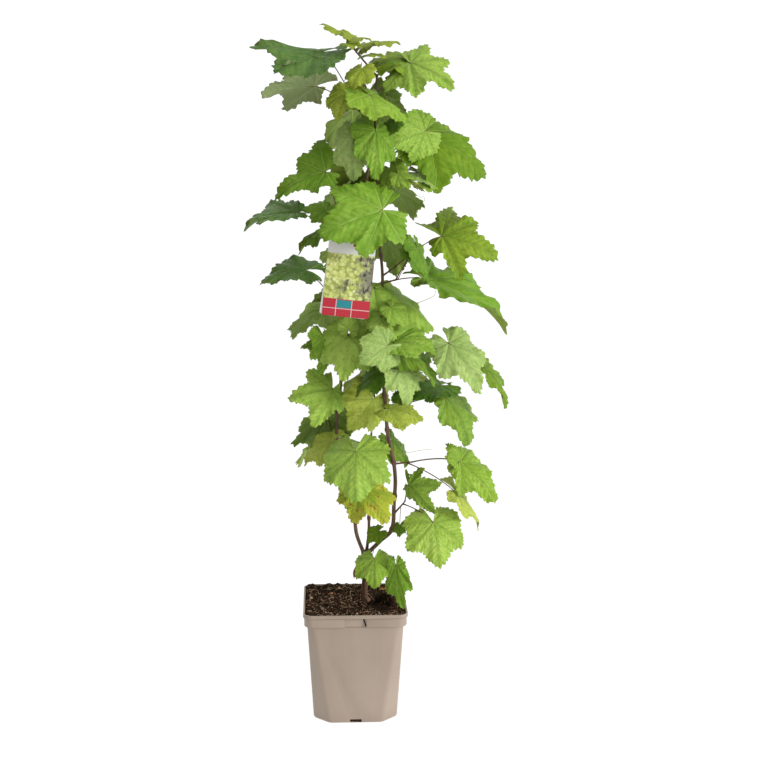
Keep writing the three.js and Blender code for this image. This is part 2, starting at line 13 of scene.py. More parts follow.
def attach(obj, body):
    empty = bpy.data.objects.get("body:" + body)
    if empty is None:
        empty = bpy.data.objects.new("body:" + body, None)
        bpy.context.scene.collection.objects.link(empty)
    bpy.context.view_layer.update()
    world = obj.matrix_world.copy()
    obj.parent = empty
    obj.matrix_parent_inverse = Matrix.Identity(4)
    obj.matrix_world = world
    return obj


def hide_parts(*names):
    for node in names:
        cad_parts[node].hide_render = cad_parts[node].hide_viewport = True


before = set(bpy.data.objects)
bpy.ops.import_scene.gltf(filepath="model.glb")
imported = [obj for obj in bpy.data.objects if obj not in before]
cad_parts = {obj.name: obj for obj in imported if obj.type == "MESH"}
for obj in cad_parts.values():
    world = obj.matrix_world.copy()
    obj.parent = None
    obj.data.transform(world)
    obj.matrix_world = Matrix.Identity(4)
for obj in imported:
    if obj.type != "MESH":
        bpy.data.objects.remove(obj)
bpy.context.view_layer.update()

MM = 0.001
BODY = "root"

# Camera, as the photograph was taken
PICTURE_SIZE = 760
CAMERA_PLACE = (-55.5, -2400, 994)
CAMERA_YAW = 2.4
CAMERA_PITCH = 9.5
FOCAL_PIXELS = 1415
SENSOR = 36

# Studio, in metres: a round floor and wall, and lamps as name, place, size and power in watts
WALL_REACH = 8
WALL_RISE = 3.2
STUDIO_SIDES = 64
STUDIO_GREY = (98, 98, 98)
FLOOR_GLOW = 0.96
WALL_GLOW = 0.98
FADE_SLANT = 0.224
FADE_START = -0.75
FADE_END = -1.9
FADE_GLOW = 0.05
SKY_STRENGTH = 0.6
LIGHT_AIM = (0, 0, 0.6)
LIGHTS = (
    ("key", (3.4, -2.1, 1.5), 1.3, 90),
    ("top", (-0.2, -0.6, 3.6), 1.6, 14),
    ("back", (-1.2, 2.6, 2.2), 1.8, 16),
)

# Pot
RIM_WIDTH = 180
POT_HEIGHT = 200
BODY_TOP_WIDTH = 166
FOOT_WIDTH = 146
BAND_HEIGHT = 22
LIP_HEIGHT = 6
BAND_FOOT = POT_HEIGHT - BAND_HEIGHT
STEP = 2
WALL = 2
FLOOR = 3
TOP_CUT = 9
FOOT_CUT = 27
PANEL_WIDTH = 37
SLOT_WIDTH = 20
SLOT_HEIGHT = 6
SLOT_RUN = 12
SLOT_SILL = 1
PANEL_CLEAR = 1.5
BRIM_STEP = 3
BRIM_LEDGE = 1.5
BAND_CHAMFER = 1
LIP_TAPER = 0.6
FACET_ROUNDING = 5.5
FOOT_ROUNDING = 3.6
HOLLOW_ROUNDING = 3
EDGE_ROUNDING = 0.7
SHARP_ANGLE = 38

# A slanting gap at the right of the pot's plain panel
GAP_WIDTH = 2.4
GAP_DEPTH = 9
GAP_INSET = 3
GAP_RISE = 0.6
GAP_LEAN = -17

# An inset takes this share of itself off a corner's cut; points closer than TOUCH, in metres, meet
CUT_LOSS = 0.6
TOUCH = 1e-5

# Soil
SOIL_LEVEL = 195.5
SOIL_WIDTH = 173.5
SOIL_CORNER = 12
SOIL_GRID = 150
SOIL_MOUND = 4
MOUND_REACH = 60
HOLLOW_CENTRE = (43, -2)
HOLLOW_REACH = (23, 46)
HOLLOW_DEPTH = 22
SLUMP_RUN = 4
SLUMP = 0.5
SKIRT_TUCK = 3
SKIRT_DEPTH = 12
SKIRT_SHARE = 0.92
WELD = 0.05
CORE_CLEAR = 0.4
CORE_LIFT = 0.3

# The ragged soil along the pot's back: where it starts, how far it runs and how high it rises
RAGGED_FROM = 45
RAGGED_RUN = 42
RAGGED_RISE = 4

# Unevenness of the soil: its height, its width, and the layer and settings of its noise
ROUGH = (3, 26, 3, 0.9, 2.1, 4)
CRUMBS = (2.1, 5.5, 9, 0.8, 2.2, 3)
RAGGED = (3, 13, 5, 0.9, 2.1, 3)

# Loose bits on the soil, and bark chips as place, size and heading
LITTER_SEED = 91
LITTER_MARGIN = 8
LUMP_COUNT = 1700
LUMP_SIZE = 0.7
LUMP_SPREAD = 3.2
PALE_EVERY = 9
FIBRE_COUNT = 300
FIBRE_LENGTH = 4
FIBRE_SPREAD = 12
FIBRE_RADII = (0.1, 0.22, 0.28, 0.25, 0.2, 0.1)
FIBRE_SIDES = 4
CHIPS = (
    (60, 60, 12, 4), (34, 66, 7, -20), (-40, 40, 5, 60), (-64, -20, 4.5, 20), (10, -62, 4, -50),
)
CHIP_SHAPE = (1.3, 0.55, 0.4)

# Bark: the steps along a limb, the reach and swelling of its nodes and foot, its ribs and its splits
LIMB_STEP = 1.6
KNOT_REACH = 4.2
KNOT_SWELL = 0.48
FLARE_REACH = 5.5
RIB_LIFT = 0.045
SPLIT_LIFT = 0.07
SPLIT_LENGTH = 24
SPLIT_WIDTH = 1.6
DRIFT_LENGTH = 40
TWIST_LENGTH = 90
ZIGZAG = 1.1

# Leaves and stalks
LEAF_THICKNESS = 0.6
VEIN_DEPTH = 0.02
SMALL_LEAF = 45
PETIOLE_RADIUS = 0.95
STEM_RADIUS = 1.9
CURL_START = 0.5

# Heights on a leaf's face, in leaf lengths: its rippled margin, sway, hanging lobes and quilting
RIPPLE = 0.04
FINE_RIPPLE = 0.02
SWAY = 0.06
HANG = 0.22
QUILT = 0.008

# Stems and stalks; the stalks of a mass start one below the other, from the stem's end
STEM_SIDES = 10
STALK_STEP = 0.4
LOWEST_STALK = 0.8
STALK_SIDES = 8
STALK_BEND = 0.6
STALK_ARCH = 0.12
STALK_POINTS = 15

# Main veins: where the nearest one changes, and by how many degrees it then turns further
VEIN_STEPS = ((25, 50), (73.5, 47), (116, 40))
SIDE_VEINS = 9
VEIN_WIDTH = 0.017
VEIN_TAPER = 0.012
SHADED_GREEN = (48, 96, 8)

# Tendrils
TENDRIL_RADIUS = 0.45
TENDRIL_STEPS = 46
TENDRIL_SIDES = 6
COIL_START = 0.55
COIL_RADIUS = 5

# Masses on the far side
BACK_SEED = 7
BACK_RISE = 20
BACK_REACH = 30
BACK_SPREAD = 36
BACK_LEAF = (76, 98)
BACK_STALK = (35, 65)
BACK_DROOP = (30, 55)
BACK_KINDS = ("fresh", "dark", "bright", "fresh", "olive")

# Card
CARD_CENTRE = (-9, -72, 775)
CARD_WIDTH = 78
CARD_HEIGHT = 130
CARD_THICKNESS = 0.9
CARD_LEAN = 6
CARD_CORNER = 3
CARD_STRIPS = (8, 12)
CARD_BOW = 1.8
CARD_CURL = 1.2

# The card's print, from its middle: its head and foot, the teal block, the frame's lines, the badge
HEAD_START = 39
FOOT_START = -36
BLOCK_CENTRE = (-4, -44)
BLOCK_HALF = (12, 6.5)
FRAME_HALF = 13
FRAME_HEIGHT = -52
LINE_HALF = 0.6
BADGE_CORNER = (2, 52)

# The plain sheet behind the card, and the strap
BACK_SHEET_SHIFT = (-2.4, 1.6, -1)
BACK_SHEET_LEAN = 2.5
STRAP_RADIUS = 1.1
STRAP_INSET = 8
STRAP_DEPTH = 2.2
STRAP_RISE = 40


def linear(red, green, blue):
    """A colour of 0 to 255 as the renderer's own linear one"""
    parts = [c / 255 for c in (red, green, blue)]
    return (*[c / 12.92 if c <= 0.04045 else ((c + 0.055) / 1.055) ** 2.4 for c in parts], 1.0)


# Shader maths


class Wire:
    """A value in a material, on which sums and products add Math nodes"""

    def __init__(self, paint, socket):
        self.paint = paint
        self.socket = socket

    def math(self, operation, *values):
        return self.paint.node("ShaderNodeMath", {"operation": operation}, values)

    def __add__(self, other):
        return self.math("ADD", self, other)

    def __sub__(self, other):
        return self.math("SUBTRACT", self, other)

    def __rsub__(self, other):
        return self.math("SUBTRACT", other, self)

    def __mul__(self, other):
        return self.math("MULTIPLY", self, other)

    def __truediv__(self, other):
        return self.math("DIVIDE", self, other)

    def __pow__(self, other):
        return self.math("POWER", self, other)

    def __abs__(self):
        return self.math("ABSOLUTE", self)

    __radd__ = __add__
    __rmul__ = __mul__

    def over(self, limit):
        return self.math("GREATER_THAN", self, limit)

    def ease(self, low, high):
        """0 below low and 1 above high, smooth between; falls where low is above high"""
        values = {"Value": self, "From Min": low, "From Max": high}
        return self.paint.node("ShaderNodeMapRange", {"interpolation_type": "SMOOTHSTEP"}, values)


class Paint:
    """A material of nodes that ends in one Principled shader"""

    def __init__(self, name):
        self.material = bpy.data.materials.new(name)
        self.material.use_nodes = True
        self.tree = self.material.node_tree
        self.shader = self.tree.nodes["Principled BSDF"]

    def feed(self, socket, value):
        if isinstance(value, Wire):
            self.tree.links.new(value.socket, socket)
        else:
            socket.default_value = value

    def node(self, kind, settings=None, values=(), output=0):
        made = self.tree.nodes.new(kind)
        for name, value in (settings or {}).items():
            setattr(made, name, value)
        pairs = values.items() if isinstance(values, dict) else enumerate(values)
        for key, value in pairs:
            self.feed(made.inputs[key], value)
        return Wire(self, made.outputs[output])

    def place(self):
        return self.node("ShaderNodeTexCoord", output="Object")

    def leaf_place(self):
        return self.node("ShaderNodeUVMap", {"uv_map": "leaf"})

    def stretched(self, vector, scale=(1, 1, 1), turn=(0, 0, 0)):
        values = {"Vector": vector, "Scale": scale, "Rotation": turn}
        return self.node("ShaderNodeMapping", values=values)

    def attribute(self, name):
        return self.node("ShaderNodeAttribute", {"attribute_name": name}, output="Fac")

    def clouds(self, vector, scale, detail=3.0, roughness=0.55):
        values = {"Vector": vector, "Scale": scale, "Detail": detail, "Roughness": roughness}
        return self.node("ShaderNodeTexNoise", values=values)

    def cells(self, vector, scale, feature="F1", output="Distance"):
        values = {"Vector": vector, "Scale": scale}
        return self.node("ShaderNodeTexVoronoi", {"feature": feature}, values, output)

    def mix(self, factor, first, second):
        """Blends two colours, each a wire, a linear colour or three numbers of 0 to 255"""
        values = {0: factor}
        for key, colour in ((6, first), (7, second)):
            plain = isinstance(colour, tuple) and len(colour) == 3
            values[key] = linear(*colour) if plain else colour
        return self.node("ShaderNodeMix", {"data_type": "RGBA"}, values, 2)

    def split(self, vector):
        return [self.node("ShaderNodeSeparateXYZ", values=[vector], output=k) for k in range(3)]

    def relief(self, height, depth):
        """A bump of a height pattern, depth millimetres high"""
        values = {"Height": height, "Distance": depth * MM, "Strength": 1.0}
        return self.node("ShaderNodeBump", values=values)

    def finish(self, colour, roughness, bump=None, specular=0.5, **others):
        """Feeds the shader; a bump is its height pattern and its depth in millimetres"""
        sockets = {"Base Color": colour, "Roughness": roughness, "Specular IOR Level": specular}
        if bump:
            sockets["Normal"] = self.relief(*bump)
        for name, value in {**sockets, **others}.items():
            self.feed(self.shader.inputs[name.replace("_", " ")], value)
        return self.material


# Materials


def leaf_finish(name, blade, patch, vein, under, turning=None):
    """A vine leaf: its main veins and the ladder of side veins are drawn from the leaf's own map"""
    paint = Paint(name)
    plane = paint.leaf_place()
    x, y, _ = paint.split(plane)
    across = abs(y)
    radius = (x * x + across * across) ** 0.5
    wander = paint.clouds(plane, 5, 2.0)
    angle = x.math("ARCTAN2", across, x)
    centre = 0
    for edge, gain in VEIN_STEPS:
        centre = angle.over(math.radians(edge)) * math.radians(gain) + centre
    turn = angle - centre + (wander - 0.5) * 0.16
    along = radius * turn.math("COSINE", turn)
    off = radius * abs(turn.math("SINE", turn))
    main_width = VEIN_WIDTH - radius * VEIN_TAPER
    main = 1 - (off / main_width).ease(0.3, 1.1)
    rung = (along - off * 0.85 + wander * 0.07) * SIDE_VEINS
    gap = abs(rung.math("FRACT", rung) - 0.5)
    side = gap.ease(0.455, 0.5) * off.ease(0.3, 0.06)
    pillow = gap.ease(0.5, 0.05) * off.ease(0.0, 0.07)
    net = paint.cells(plane, 30, "DISTANCE_TO_EDGE")
    mesh = net.ease(0.1, 0.0)
    broad = paint.clouds(plane, 2.6, 2.0)
    fine = paint.clouds(plane, 26, 3.0)
    blotch = paint.clouds(plane, 8, 3.0, 0.6)
    tint = paint.attribute("tint")
    # The pillows between the side veins add to the lighter patches: a painted highlight on their raised
    # faces
    mottle = broad * 0.7 + blotch * 0.6 + fine * 0.25 + tint * 0.5 + pillow * 0.08 - 0.3
    face = paint.mix(mottle.ease(0.15, 0.9), blade, patch)
    shaded = off.ease(0.09, 0.01) * 0.16 + blotch.ease(0.5, 0.3) * 0.34
    face = paint.mix(shaded, face, paint.mix(0.5, blade, SHADED_GREEN))
    if turning:
        yellow, brown = turning
        rim = paint.attribute("rim")
        face = paint.mix((rim * 0.55 + broad * 0.8).ease(0.6, 1.05) * 0.6, face, yellow)
        spots = paint.clouds(plane, 5.5, 2.0).ease(0.6, 0.68) * rim.ease(0.3, 0.7)
        face = paint.mix(spots, face, brown)
    face = paint.mix((main * 0.5 + side * 0.16 + mesh * 0.07).ease(0, 1), face, vein)
    back = paint.mix((main * 0.6 + side * 0.35 + mesh * 0.15 + fine * 0.2).ease(0, 1), under, vein)
    below = paint.attribute("below")
    sign = 1 - below * 2
    ribs = main * 0.8 + side * 0.4 + mesh * 0.25 - pillow * 0.5
    height = ribs * (sign * -1) + fine * 0.4 + blotch * 1.3
    return paint.finish(
        paint.mix(below, face, back), below * 0.2 + (fine * 0.16 + 0.4), (height, 0.9), 0.22,
        Subsurface_Weight=0.1, Subsurface_Scale=0.0015)


def stalk_finish():
    paint = Paint("stalk_green_to_red")
    place = paint.place()
    patches = paint.clouds(place, 24, 2.0)
    blush = (paint.attribute("blush") + patches * 0.5 - 0.25).ease(0, 1)
    grain = paint.clouds(paint.stretched(place, (1, 1, 0.3)), 900, 2.0)
    colour = paint.mix(blush, (132, 136, 62), (102, 60, 44))
    colour = paint.mix(grain * 0.3, colour, (70, 44, 30))
    return paint.finish(colour, grain * 0.2 + 0.4, (grain, 0.12), 0.4)


def tendril_finish():
    paint = Paint("tendril_pale_green")
    patches = paint.clouds(paint.place(), 60, 2.0)
    colour = paint.mix(patches.ease(0.35, 0.7), (176, 196, 120), (150, 128, 84))
    return paint.finish(colour, patches * 0.2 + 0.45)


def bark_finish(name, ridge, groove, blush):
    """Ribbed young bark, reddish round its nodes, with painted shade in its grooves"""
    paint = Paint(name)
    place = paint.place()
    streaks = paint.clouds(paint.stretched(place, (1, 1, 0.09)), 520, 4.0, 0.6)
    patches = paint.clouds(place, 32, 3.0)
    specks = paint.cells(place, 900)
    groove_mask = paint.attribute("groove")
    colour = paint.mix((streaks * 0.9 + patches * 0.5).ease(0.35, 0.95), groove, ridge)
    # Painted shade: the grooves between the ribs and in the splits are darkened
    colour = paint.mix(groove_mask * 0.6, colour, groove)
    colour = paint.mix(paint.attribute("node") * (patches * 0.6 + 0.35), colour, blush)
    colour = paint.mix(specks.ease(0.25, 0.1) * 0.45, colour, (54, 34, 24))
    height = streaks * 0.8 + patches * 0.2 - groove_mask * 0.3
    return paint.finish(colour, streaks * 0.3 + 0.5, (height, 0.5))


def pot_finish():
    """Moulded taupe plastic, slightly blotched and dusty, streaked darker at the foot, with painted
    shade in thin lines under the band and under the lip
    """
    paint = Paint("pot_taupe_plastic")
    place = paint.place()
    _, _, height = paint.split(place)
    broad = paint.clouds(place, 7, 3.0)
    streaks = paint.clouds(paint.stretched(place, (1, 1, 0.12)), 38, 3.0)
    grain = paint.clouds(place, 1500, 2.0)
    specks = paint.cells(place, 130)
    patches = (broad * 0.6 + streaks * 0.4).ease(0.3, 0.7)
    colour = paint.mix(patches, (159, 142, 126), (169, 152, 136))
    dust = specks.ease(0.13, 0.05) * broad.ease(0.45, 0.6) * 0.3
    colour = paint.mix(dust, colour, (118, 96, 78))
    foot = height.ease(0.03, 0.0)
    colour = paint.mix(foot * streaks * 0.35, colour, (132, 114, 98))
    # Painted shade: a thin dark line just under the band and just under the lip
    for ledge in (BAND_FOOT, POT_HEIGHT - LIP_HEIGHT):
        ledge_shade = abs(height - (ledge - 0.4) * MM).ease(1.4 * MM, 0.2 * MM)
        colour = paint.mix(ledge_shade * 0.6, colour, (104, 88, 76))
    roughness = broad * 0.14 + streaks * 0.08 + 0.4
    return paint.finish(colour, roughness, (grain * 0.5 + streaks * 0.5, 0.12), 0.45)


def soil_finish():
    """Moist dark compost: dark brown crumbs with paler fibres and specks"""
    paint = Paint("soil_dark_compost")
    place = paint.place()
    broad = paint.clouds(place, 45, 4.0)
    crumbs = paint.cells(place, 420)
    fine = paint.clouds(place, 900, 4.0, 0.7)
    shade = paint.attribute("shade")
    colour = paint.mix(broad.ease(0.3, 0.7), (12, 6, 4), (78, 51, 35))
    colour = paint.mix(fine.ease(0.5, 0.66) * 0.85, colour, (196, 166, 134))
    # Painted shade: darker between the crumbs, where the bump sinks
    colour = paint.mix(crumbs.ease(0.15, 0.5) * 0.75, colour, (16, 8, 5))
    colour = paint.mix(shade, colour, (9, 4, 3))
    return paint.finish(colour, fine * 0.2 + 0.8, (crumbs * -1 + fine * 0.8, 2.2), 0.06)


def chaff_finish(name, light, dark, scale=300):
    """Fibres, crumbs and chips on the soil"""
    paint = Paint(name)
    patches = paint.clouds(paint.place(), scale, 3.0)
    colour = paint.mix(patches.ease(0.3, 0.7), dark, light)
    return paint.finish(colour, patches * 0.2 + 0.75, (patches, 0.4), 0.1)


def card_finish():
    """A plain printed card: a pale head, a field of mottled fruit greens and a red foot"""
    paint = Paint("card_print")
    centre = [c * MM for c in CARD_CENTRE]
    centred = paint.node(
        "ShaderNodeVectorMath", {"operation": "SUBTRACT"}, [paint.place(), centre])
    flat = paint.stretched(centred, turn=(0, math.radians(-CARD_LEAN), 0))
    across, _, up = paint.split(flat)
    head = up.over(HEAD_START * MM)
    foot = 1 - up.over(FOOT_START * MM)
    plane = paint.stretched(flat, (1, 0, 1))
    patches = paint.clouds(plane, 42, 3.0)
    streaks = paint.clouds(paint.stretched(plane, (1, 0, 0.6)), 130, 4.0, 0.65)
    drops = paint.cells(plane, 170)
    light, _, _ = paint.split(paint.cells(plane, 170, output="Color"))
    field = paint.mix(light * 0.6 + streaks * 0.4, (186, 198, 74), (242, 244, 176))
    field = paint.mix(drops.ease(0.42, 0.75) * 0.7, field, (132, 144, 52))
    gaps = (patches * 0.7 + streaks * 0.5).ease(0.62, 0.74)
    field = paint.mix(gaps * 0.75, field, (96, 104, 60))
    leafy = (patches * 0.8 + streaks * 0.4 + across * 7).ease(0.66, 0.82)
    field = paint.mix(leafy * 0.8, field, (122, 118, 112))
    field = paint.mix(streaks.ease(0.5, 0.62) * leafy, field, (62, 56, 54))
    strip = paint.mix(patches * 0.3, (196, 40, 58), (170, 28, 48))
    block_x, block_y = (c * MM for c in BLOCK_CENTRE)
    half_x, half_y = (c * MM for c in BLOCK_HALF)
    beside = 1 - abs(across - block_x).over(half_x)
    strip = paint.mix(beside * (1 - abs(up - block_y).over(half_y)), strip, (30, 140, 148))
    lines = 1 - abs(up - FRAME_HEIGHT * MM).over(LINE_HALF * MM)
    posts = abs(abs(across - block_x) - FRAME_HALF * MM)
    lines = (lines + 1 - posts.over(LINE_HALF * MM)).ease(0, 1)
    strip = paint.mix(lines * 0.75, strip, (236, 226, 220))
    badge_x, badge_y = (c * MM for c in BADGE_CORNER)
    badge = across.over(badge_x) * up.over(badge_y)
    top = paint.mix(badge, (232, 230, 226), (134, 34, 36))
    print_colour = paint.mix(foot, paint.mix(head, field, top), strip)
    colour = paint.mix(paint.attribute("face"), (238, 236, 230), print_colour)
    wear = paint.clouds(centred, 500, 3.0)
    colour = paint.mix(wear * 0.08, colour, (150, 146, 138))
    return paint.finish(colour, wear * 0.15 + 0.38, (wear, 0.05), 0.3)


def strap_finish():
    paint = Paint("strap_white_plastic")
    wear = paint.clouds(paint.place(), 400, 3.0)
    colour = paint.mix(wear.ease(0.4, 0.7) * 0.4, (240, 240, 236), (206, 202, 192))
    return paint.finish(colour, wear * 0.2 + 0.35, (wear, 0.05))


# Stage


def glow_finish(name, strength):
    """A pale matt face that glows softly, as a lit studio sweep does, and fades at the viewer's left"""
    paint = Paint(name)
    x, y, _ = paint.split(paint.place())
    fade = (x + y * FADE_SLANT).ease(FADE_START, FADE_END)
    glow = paint.mix(fade, (1, 1, 1, 1), (FADE_GLOW, FADE_GLOW, FADE_GLOW, 1))
    return paint.finish(
        linear(*STUDIO_GREY), 0.9, specular=0, Emission_Color=glow, Emission_Strength=strength)


def make_stage():
    bpy.ops.object.camera_add(
        location=[c * MM for c in CAMERA_PLACE],
        rotation=(math.radians(90 - CAMERA_PITCH), 0, math.radians(-CAMERA_YAW)))
    camera = bpy.context.object
    camera.name = "photo_camera"
    camera.data.sensor_width = SENSOR
    camera.data.lens = FOCAL_PIXELS / PICTURE_SIZE * SENSOR
    bpy.context.scene.camera = camera
    bpy.ops.mesh.primitive_circle_add(
        vertices=STUDIO_SIDES, radius=WALL_REACH, fill_type="NGON", location=(0, 0, 0))
    floor = bpy.context.object
    floor.name = "floor"
    floor.data.materials.append(glow_finish("floor_pale", FLOOR_GLOW))
    bpy.ops.mesh.primitive_cylinder_add(
        vertices=STUDIO_SIDES, radius=WALL_REACH, depth=WALL_RISE, end_fill_type="NOTHING",
        location=(0, 0, WALL_RISE / 2))
    wall = bpy.context.object
    wall.name = "wall"
    wall.data.materials.append(glow_finish("wall_pale", WALL_GLOW))
    for name, place, size, power in LIGHTS:
        bpy.ops.object.light_add(type="AREA", location=place)
        light = bpy.context.object
        light.name = name
        light.data.shape = "DISK"
        light.data.size = size
        light.data.energy = power
        aim = Vector(LIGHT_AIM) - Vector(place)
        light.rotation_euler = aim.to_track_quat("-Z", "Y").to_euler()
    world = bpy.data.worlds.new("studio")
    world.use_nodes = True
    bpy.context.scene.world = world
    background = world.node_tree.nodes["Background"]
    background.inputs["Strength"].default_value = SKY_STRENGTH
    background.inputs["Color"].default_value = (1, 1, 1, 1)
    bpy.context.scene.view_settings.view_transform = "Standard"


# Making and shaping pieces


def settle(piece, nodes=()):
    """Puts a finished piece on the model's one body, in place of the nodes that it stands for"""
    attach(piece, BODY)
    if nodes:
        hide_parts(*nodes)


def set_values(data, name, values):
    """Gives each vertex of a mesh one named value, which the materials read"""
    data.attributes.new(name, "FLOAT", "POINT").data.foreach_set("value", values)


def deselect():
    bpy.ops.object.select_all(action="DESELECT")


def apply_place():
    bpy.ops.object.transform_apply(location=True, rotation=True, scale=True)


def add_block(name, width, depth, height, centre, lean=(0, 0, 0)):
    deselect()
    bpy.ops.mesh.primitive_cube_add(size=1, location=[c * MM for c in centre])
    piece = bpy.context.object
    piece.name = name
    piece.scale = (width * MM, depth * MM, height * MM)
    piece.rotation_euler = [math.radians(a) for a in lean]
    apply_place()
    return piece


def choose(piece, kind, test):
    """Selects the faces, edges or vertices that pass a test, in edit mode"""
    bpy.ops.mesh.select_all(action="DESELECT")
    bpy.context.tool_settings.mesh_select_mode = [kind == k for k in ("verts", "edges", "faces")]
    shape = bmesh.from_edit_mesh(piece.data)
    for part in getattr(shape, kind):
        if test(part):
            part.select_set(True)
    shape.select_flush_mode()
    bmesh.update_edit_mesh(piece.data)


def enter(mode):
    bpy.ops.object.mode_set(mode=mode)


def bevel_chosen(offset, segments):
    bpy.ops.mesh.bevel(offset=offset * MM, offset_type="OFFSET", segments=segments, affect="EDGES")


def stretch(x=1, y=1, z=1):
    bpy.ops.transform.resize(value=(x, y, z), center_override=(0, 0, 0))


def raise_face(rise):
    bpy.ops.mesh.extrude_region_move(TRANSFORM_OT_translate={"value": (0, 0, rise * MM)})


def apply_modifier(piece, kind, **settings):
    bpy.context.view_layer.objects.active = piece
    modifier = piece.modifiers.new(kind.lower(), kind)
    for name, value in settings.items():
        setattr(modifier, name, value)
    bpy.ops.object.modifier_apply(modifier=modifier.name)


def cut_away(piece, cutter):
    apply_modifier(piece, "BOOLEAN", object=cutter, operation="DIFFERENCE", solver="EXACT")
    bpy.data.objects.remove(cutter)


def smooth(piece, angle=35):
    deselect()
    piece.select_set(True)
    bpy.context.view_layer.objects.active = piece
    bpy.ops.object.shade_smooth_by_angle(angle=math.radians(angle))


# Pot


def body_width(height):
    return FOOT_WIDTH + (BODY_TOP_WIDTH - FOOT_WIDTH) * height / BAND_FOOT


def corner_cut(height):
    return FOOT_CUT + (TOP_CUT - FOOT_CUT) * height / BAND_FOOT


def tapered_block(name, foot, top, inset, rounding):
    """A block with the pot's taper, inset from its outside, whose corner facets widen downwards"""
    widths = [body_width(height) - 2 * inset for height in (foot, top)]
    cuts = [corner_cut(height) - CUT_LOSS * inset for height in (foot, top)]
    block = add_block(name, widths[0], widths[0], top - foot, (0, 0, (foot + top) / 2))
    enter("EDIT")
    taper = widths[1] / widths[0]
    choose(block, "faces", lambda face: face.calc_center_median().z > top * MM - TOUCH)
    stretch(taper, taper)
    slanting = lambda edge: abs(edge.verts[0].co.z - edge.verts[1].co.z) > 0.9 * (top - foot) * MM
    choose(block, "edges", slanting)
    bevel_chosen(cuts[1], 1)
    for height, width, cut in zip((foot, top), widths, cuts):
        half = width / 2 * MM
        for axis in (0, 1):
            on_side = lambda vert: (
                abs(vert.co.z - height * MM) < TOUCH
                and abs(abs(vert.co[1 - axis]) - half) < TOUCH)
            choose(block, "verts", on_side)
            shape = bmesh.from_edit_mesh(block.data)
            now = max(abs(vert.co[axis]) for vert in shape.verts if vert.select)
            share = (half - cut * MM) / now
            stretch(*[share if k == axis else 1 for k in range(3)])
    choose(block, "edges", slanting)
    bevel_chosen(rounding, 3)
    return block


def make_pot():
    """A tapering pot whose corner facets widen towards the foot, with a band and a lip at the top"""
    band_width = RIM_WIDTH - 2 * STEP
    pot = tapered_block("pot_shell", 0, BAND_FOOT, 0, FACET_ROUNDING)
    choose(pot, "edges", lambda edge: max(vert.co.z for vert in edge.verts) < TOUCH)
    bevel_chosen(FOOT_ROUNDING, 4)
    choose(pot, "faces", lambda face: face.calc_center_median().z > BAND_FOOT * MM - TOUCH)
    now = BODY_TOP_WIDTH
    for rise, width in (
        (0, band_width - BAND_CHAMFER),
        (BAND_CHAMFER, band_width),
        (BAND_HEIGHT - LIP_HEIGHT - BAND_CHAMFER, band_width),
        (0, RIM_WIDTH),
        (LIP_HEIGHT, RIM_WIDTH - LIP_TAPER),
    ):
        raise_face(rise)
        stretch(width / now, width / now)
        now = width
    enter("OBJECT")
    cavity = tapered_block("cavity", FLOOR, POT_HEIGHT + 1, WALL, HOLLOW_ROUNDING)
    enter("OBJECT")
    cut_away(pot, cavity)
    cut_away(pot, brim_space())
    cut_panel(pot)
    reach = (FOOT_WIDTH - SLOT_RUN) / 2 + STEP
    middle = SLOT_SILL + SLOT_HEIGHT / 2
    for x, y in ((0, -1), (0, 1), (1, 0), (-1, 0)):
        width, depth = (SLOT_RUN, SLOT_WIDTH) if x else (SLOT_WIDTH, SLOT_RUN)
        cut_away(pot, add_block("slot", width, depth, SLOT_HEIGHT, (x * reach, y * reach, middle)))
    apply_modifier(pot, "BEVEL", width=EDGE_ROUNDING * MM, segments=2, limit_method="ANGLE",
                   angle_limit=math.radians(SHARP_ANGLE))
    smooth(pot)
    pot.data.materials.append(pot_finish())
    settle(pot, ["pot"])


def brim_space():
    """The wider hollow inside the band, which leaves the plain panel's wall standing"""
    space = tapered_block(
        "brim_space", BAND_FOOT + BRIM_LEDGE, POT_HEIGHT + 1, -BRIM_STEP, HOLLOW_ROUNDING)
    enter("OBJECT")
    depth, height = 20, 40
    middle = POT_HEIGHT - LIP_HEIGHT + 1 - height / 2
    face = -body_width(BAND_FOOT) / 2 + WALL - depth / 2
    cut_away(space, add_block("panel_wall", PANEL_WIDTH + 2 * WALL, depth, height, (0, face, middle)))
    return space


def cut_panel(pot):
    """The band stops short in the middle of the front, where the body shows up to the lip"""
    slope = math.degrees(math.atan((BODY_TOP_WIDTH - FOOT_WIDTH) / 2 / BAND_FOOT))
    height = BAND_HEIGHT - LIP_HEIGHT + PANEL_CLEAR
    middle = POT_HEIGHT - LIP_HEIGHT - height / 2
    face = -body_width(middle) / 2 - 0.1
    depth = 12
    place = (0, face - depth / 2, middle)
    cut_away(pot, add_block("panel", PANEL_WIDTH, depth, height, place, (slope, 0, 0)))
    place = (PANEL_WIDTH / 2 - GAP_INSET, face, middle + GAP_RISE)
    cut_away(pot, add_block(
        "gap", GAP_WIDTH, GAP_DEPTH, height - GAP_INSET, place, (0, GAP_LEAN, 0)))


# Soil


def uneven(x, y, height, width, layer, *settings):
    return height * noise.fractal(Vector((x, y, layer)) / width, *settings)


def soil_height(x, y):
    """Height of the soil's top: crumbs, a low mound, a ragged back, slumped edges and one hollow"""
    mound = SOIL_MOUND * math.exp(-(x * x + y * y) / MOUND_REACH ** 2)
    rough = uneven(x, y, *ROUGH)
    crumbs = uneven(x, y, *CRUMBS)
    far = max(0, (y - RAGGED_FROM) / RAGGED_RUN)
    rise = far * max(RAGGED_RISE + uneven(x, y, *RAGGED), 0)
    edge = max(abs(x), -y) - SOIL_WIDTH / 2 + SLUMP_RUN
    slump = SLUMP * max(0, edge)
    return SOIL_LEVEL + mound + rough + crumbs + rise - slump - HOLLOW_DEPTH * hollow_share(x, y)


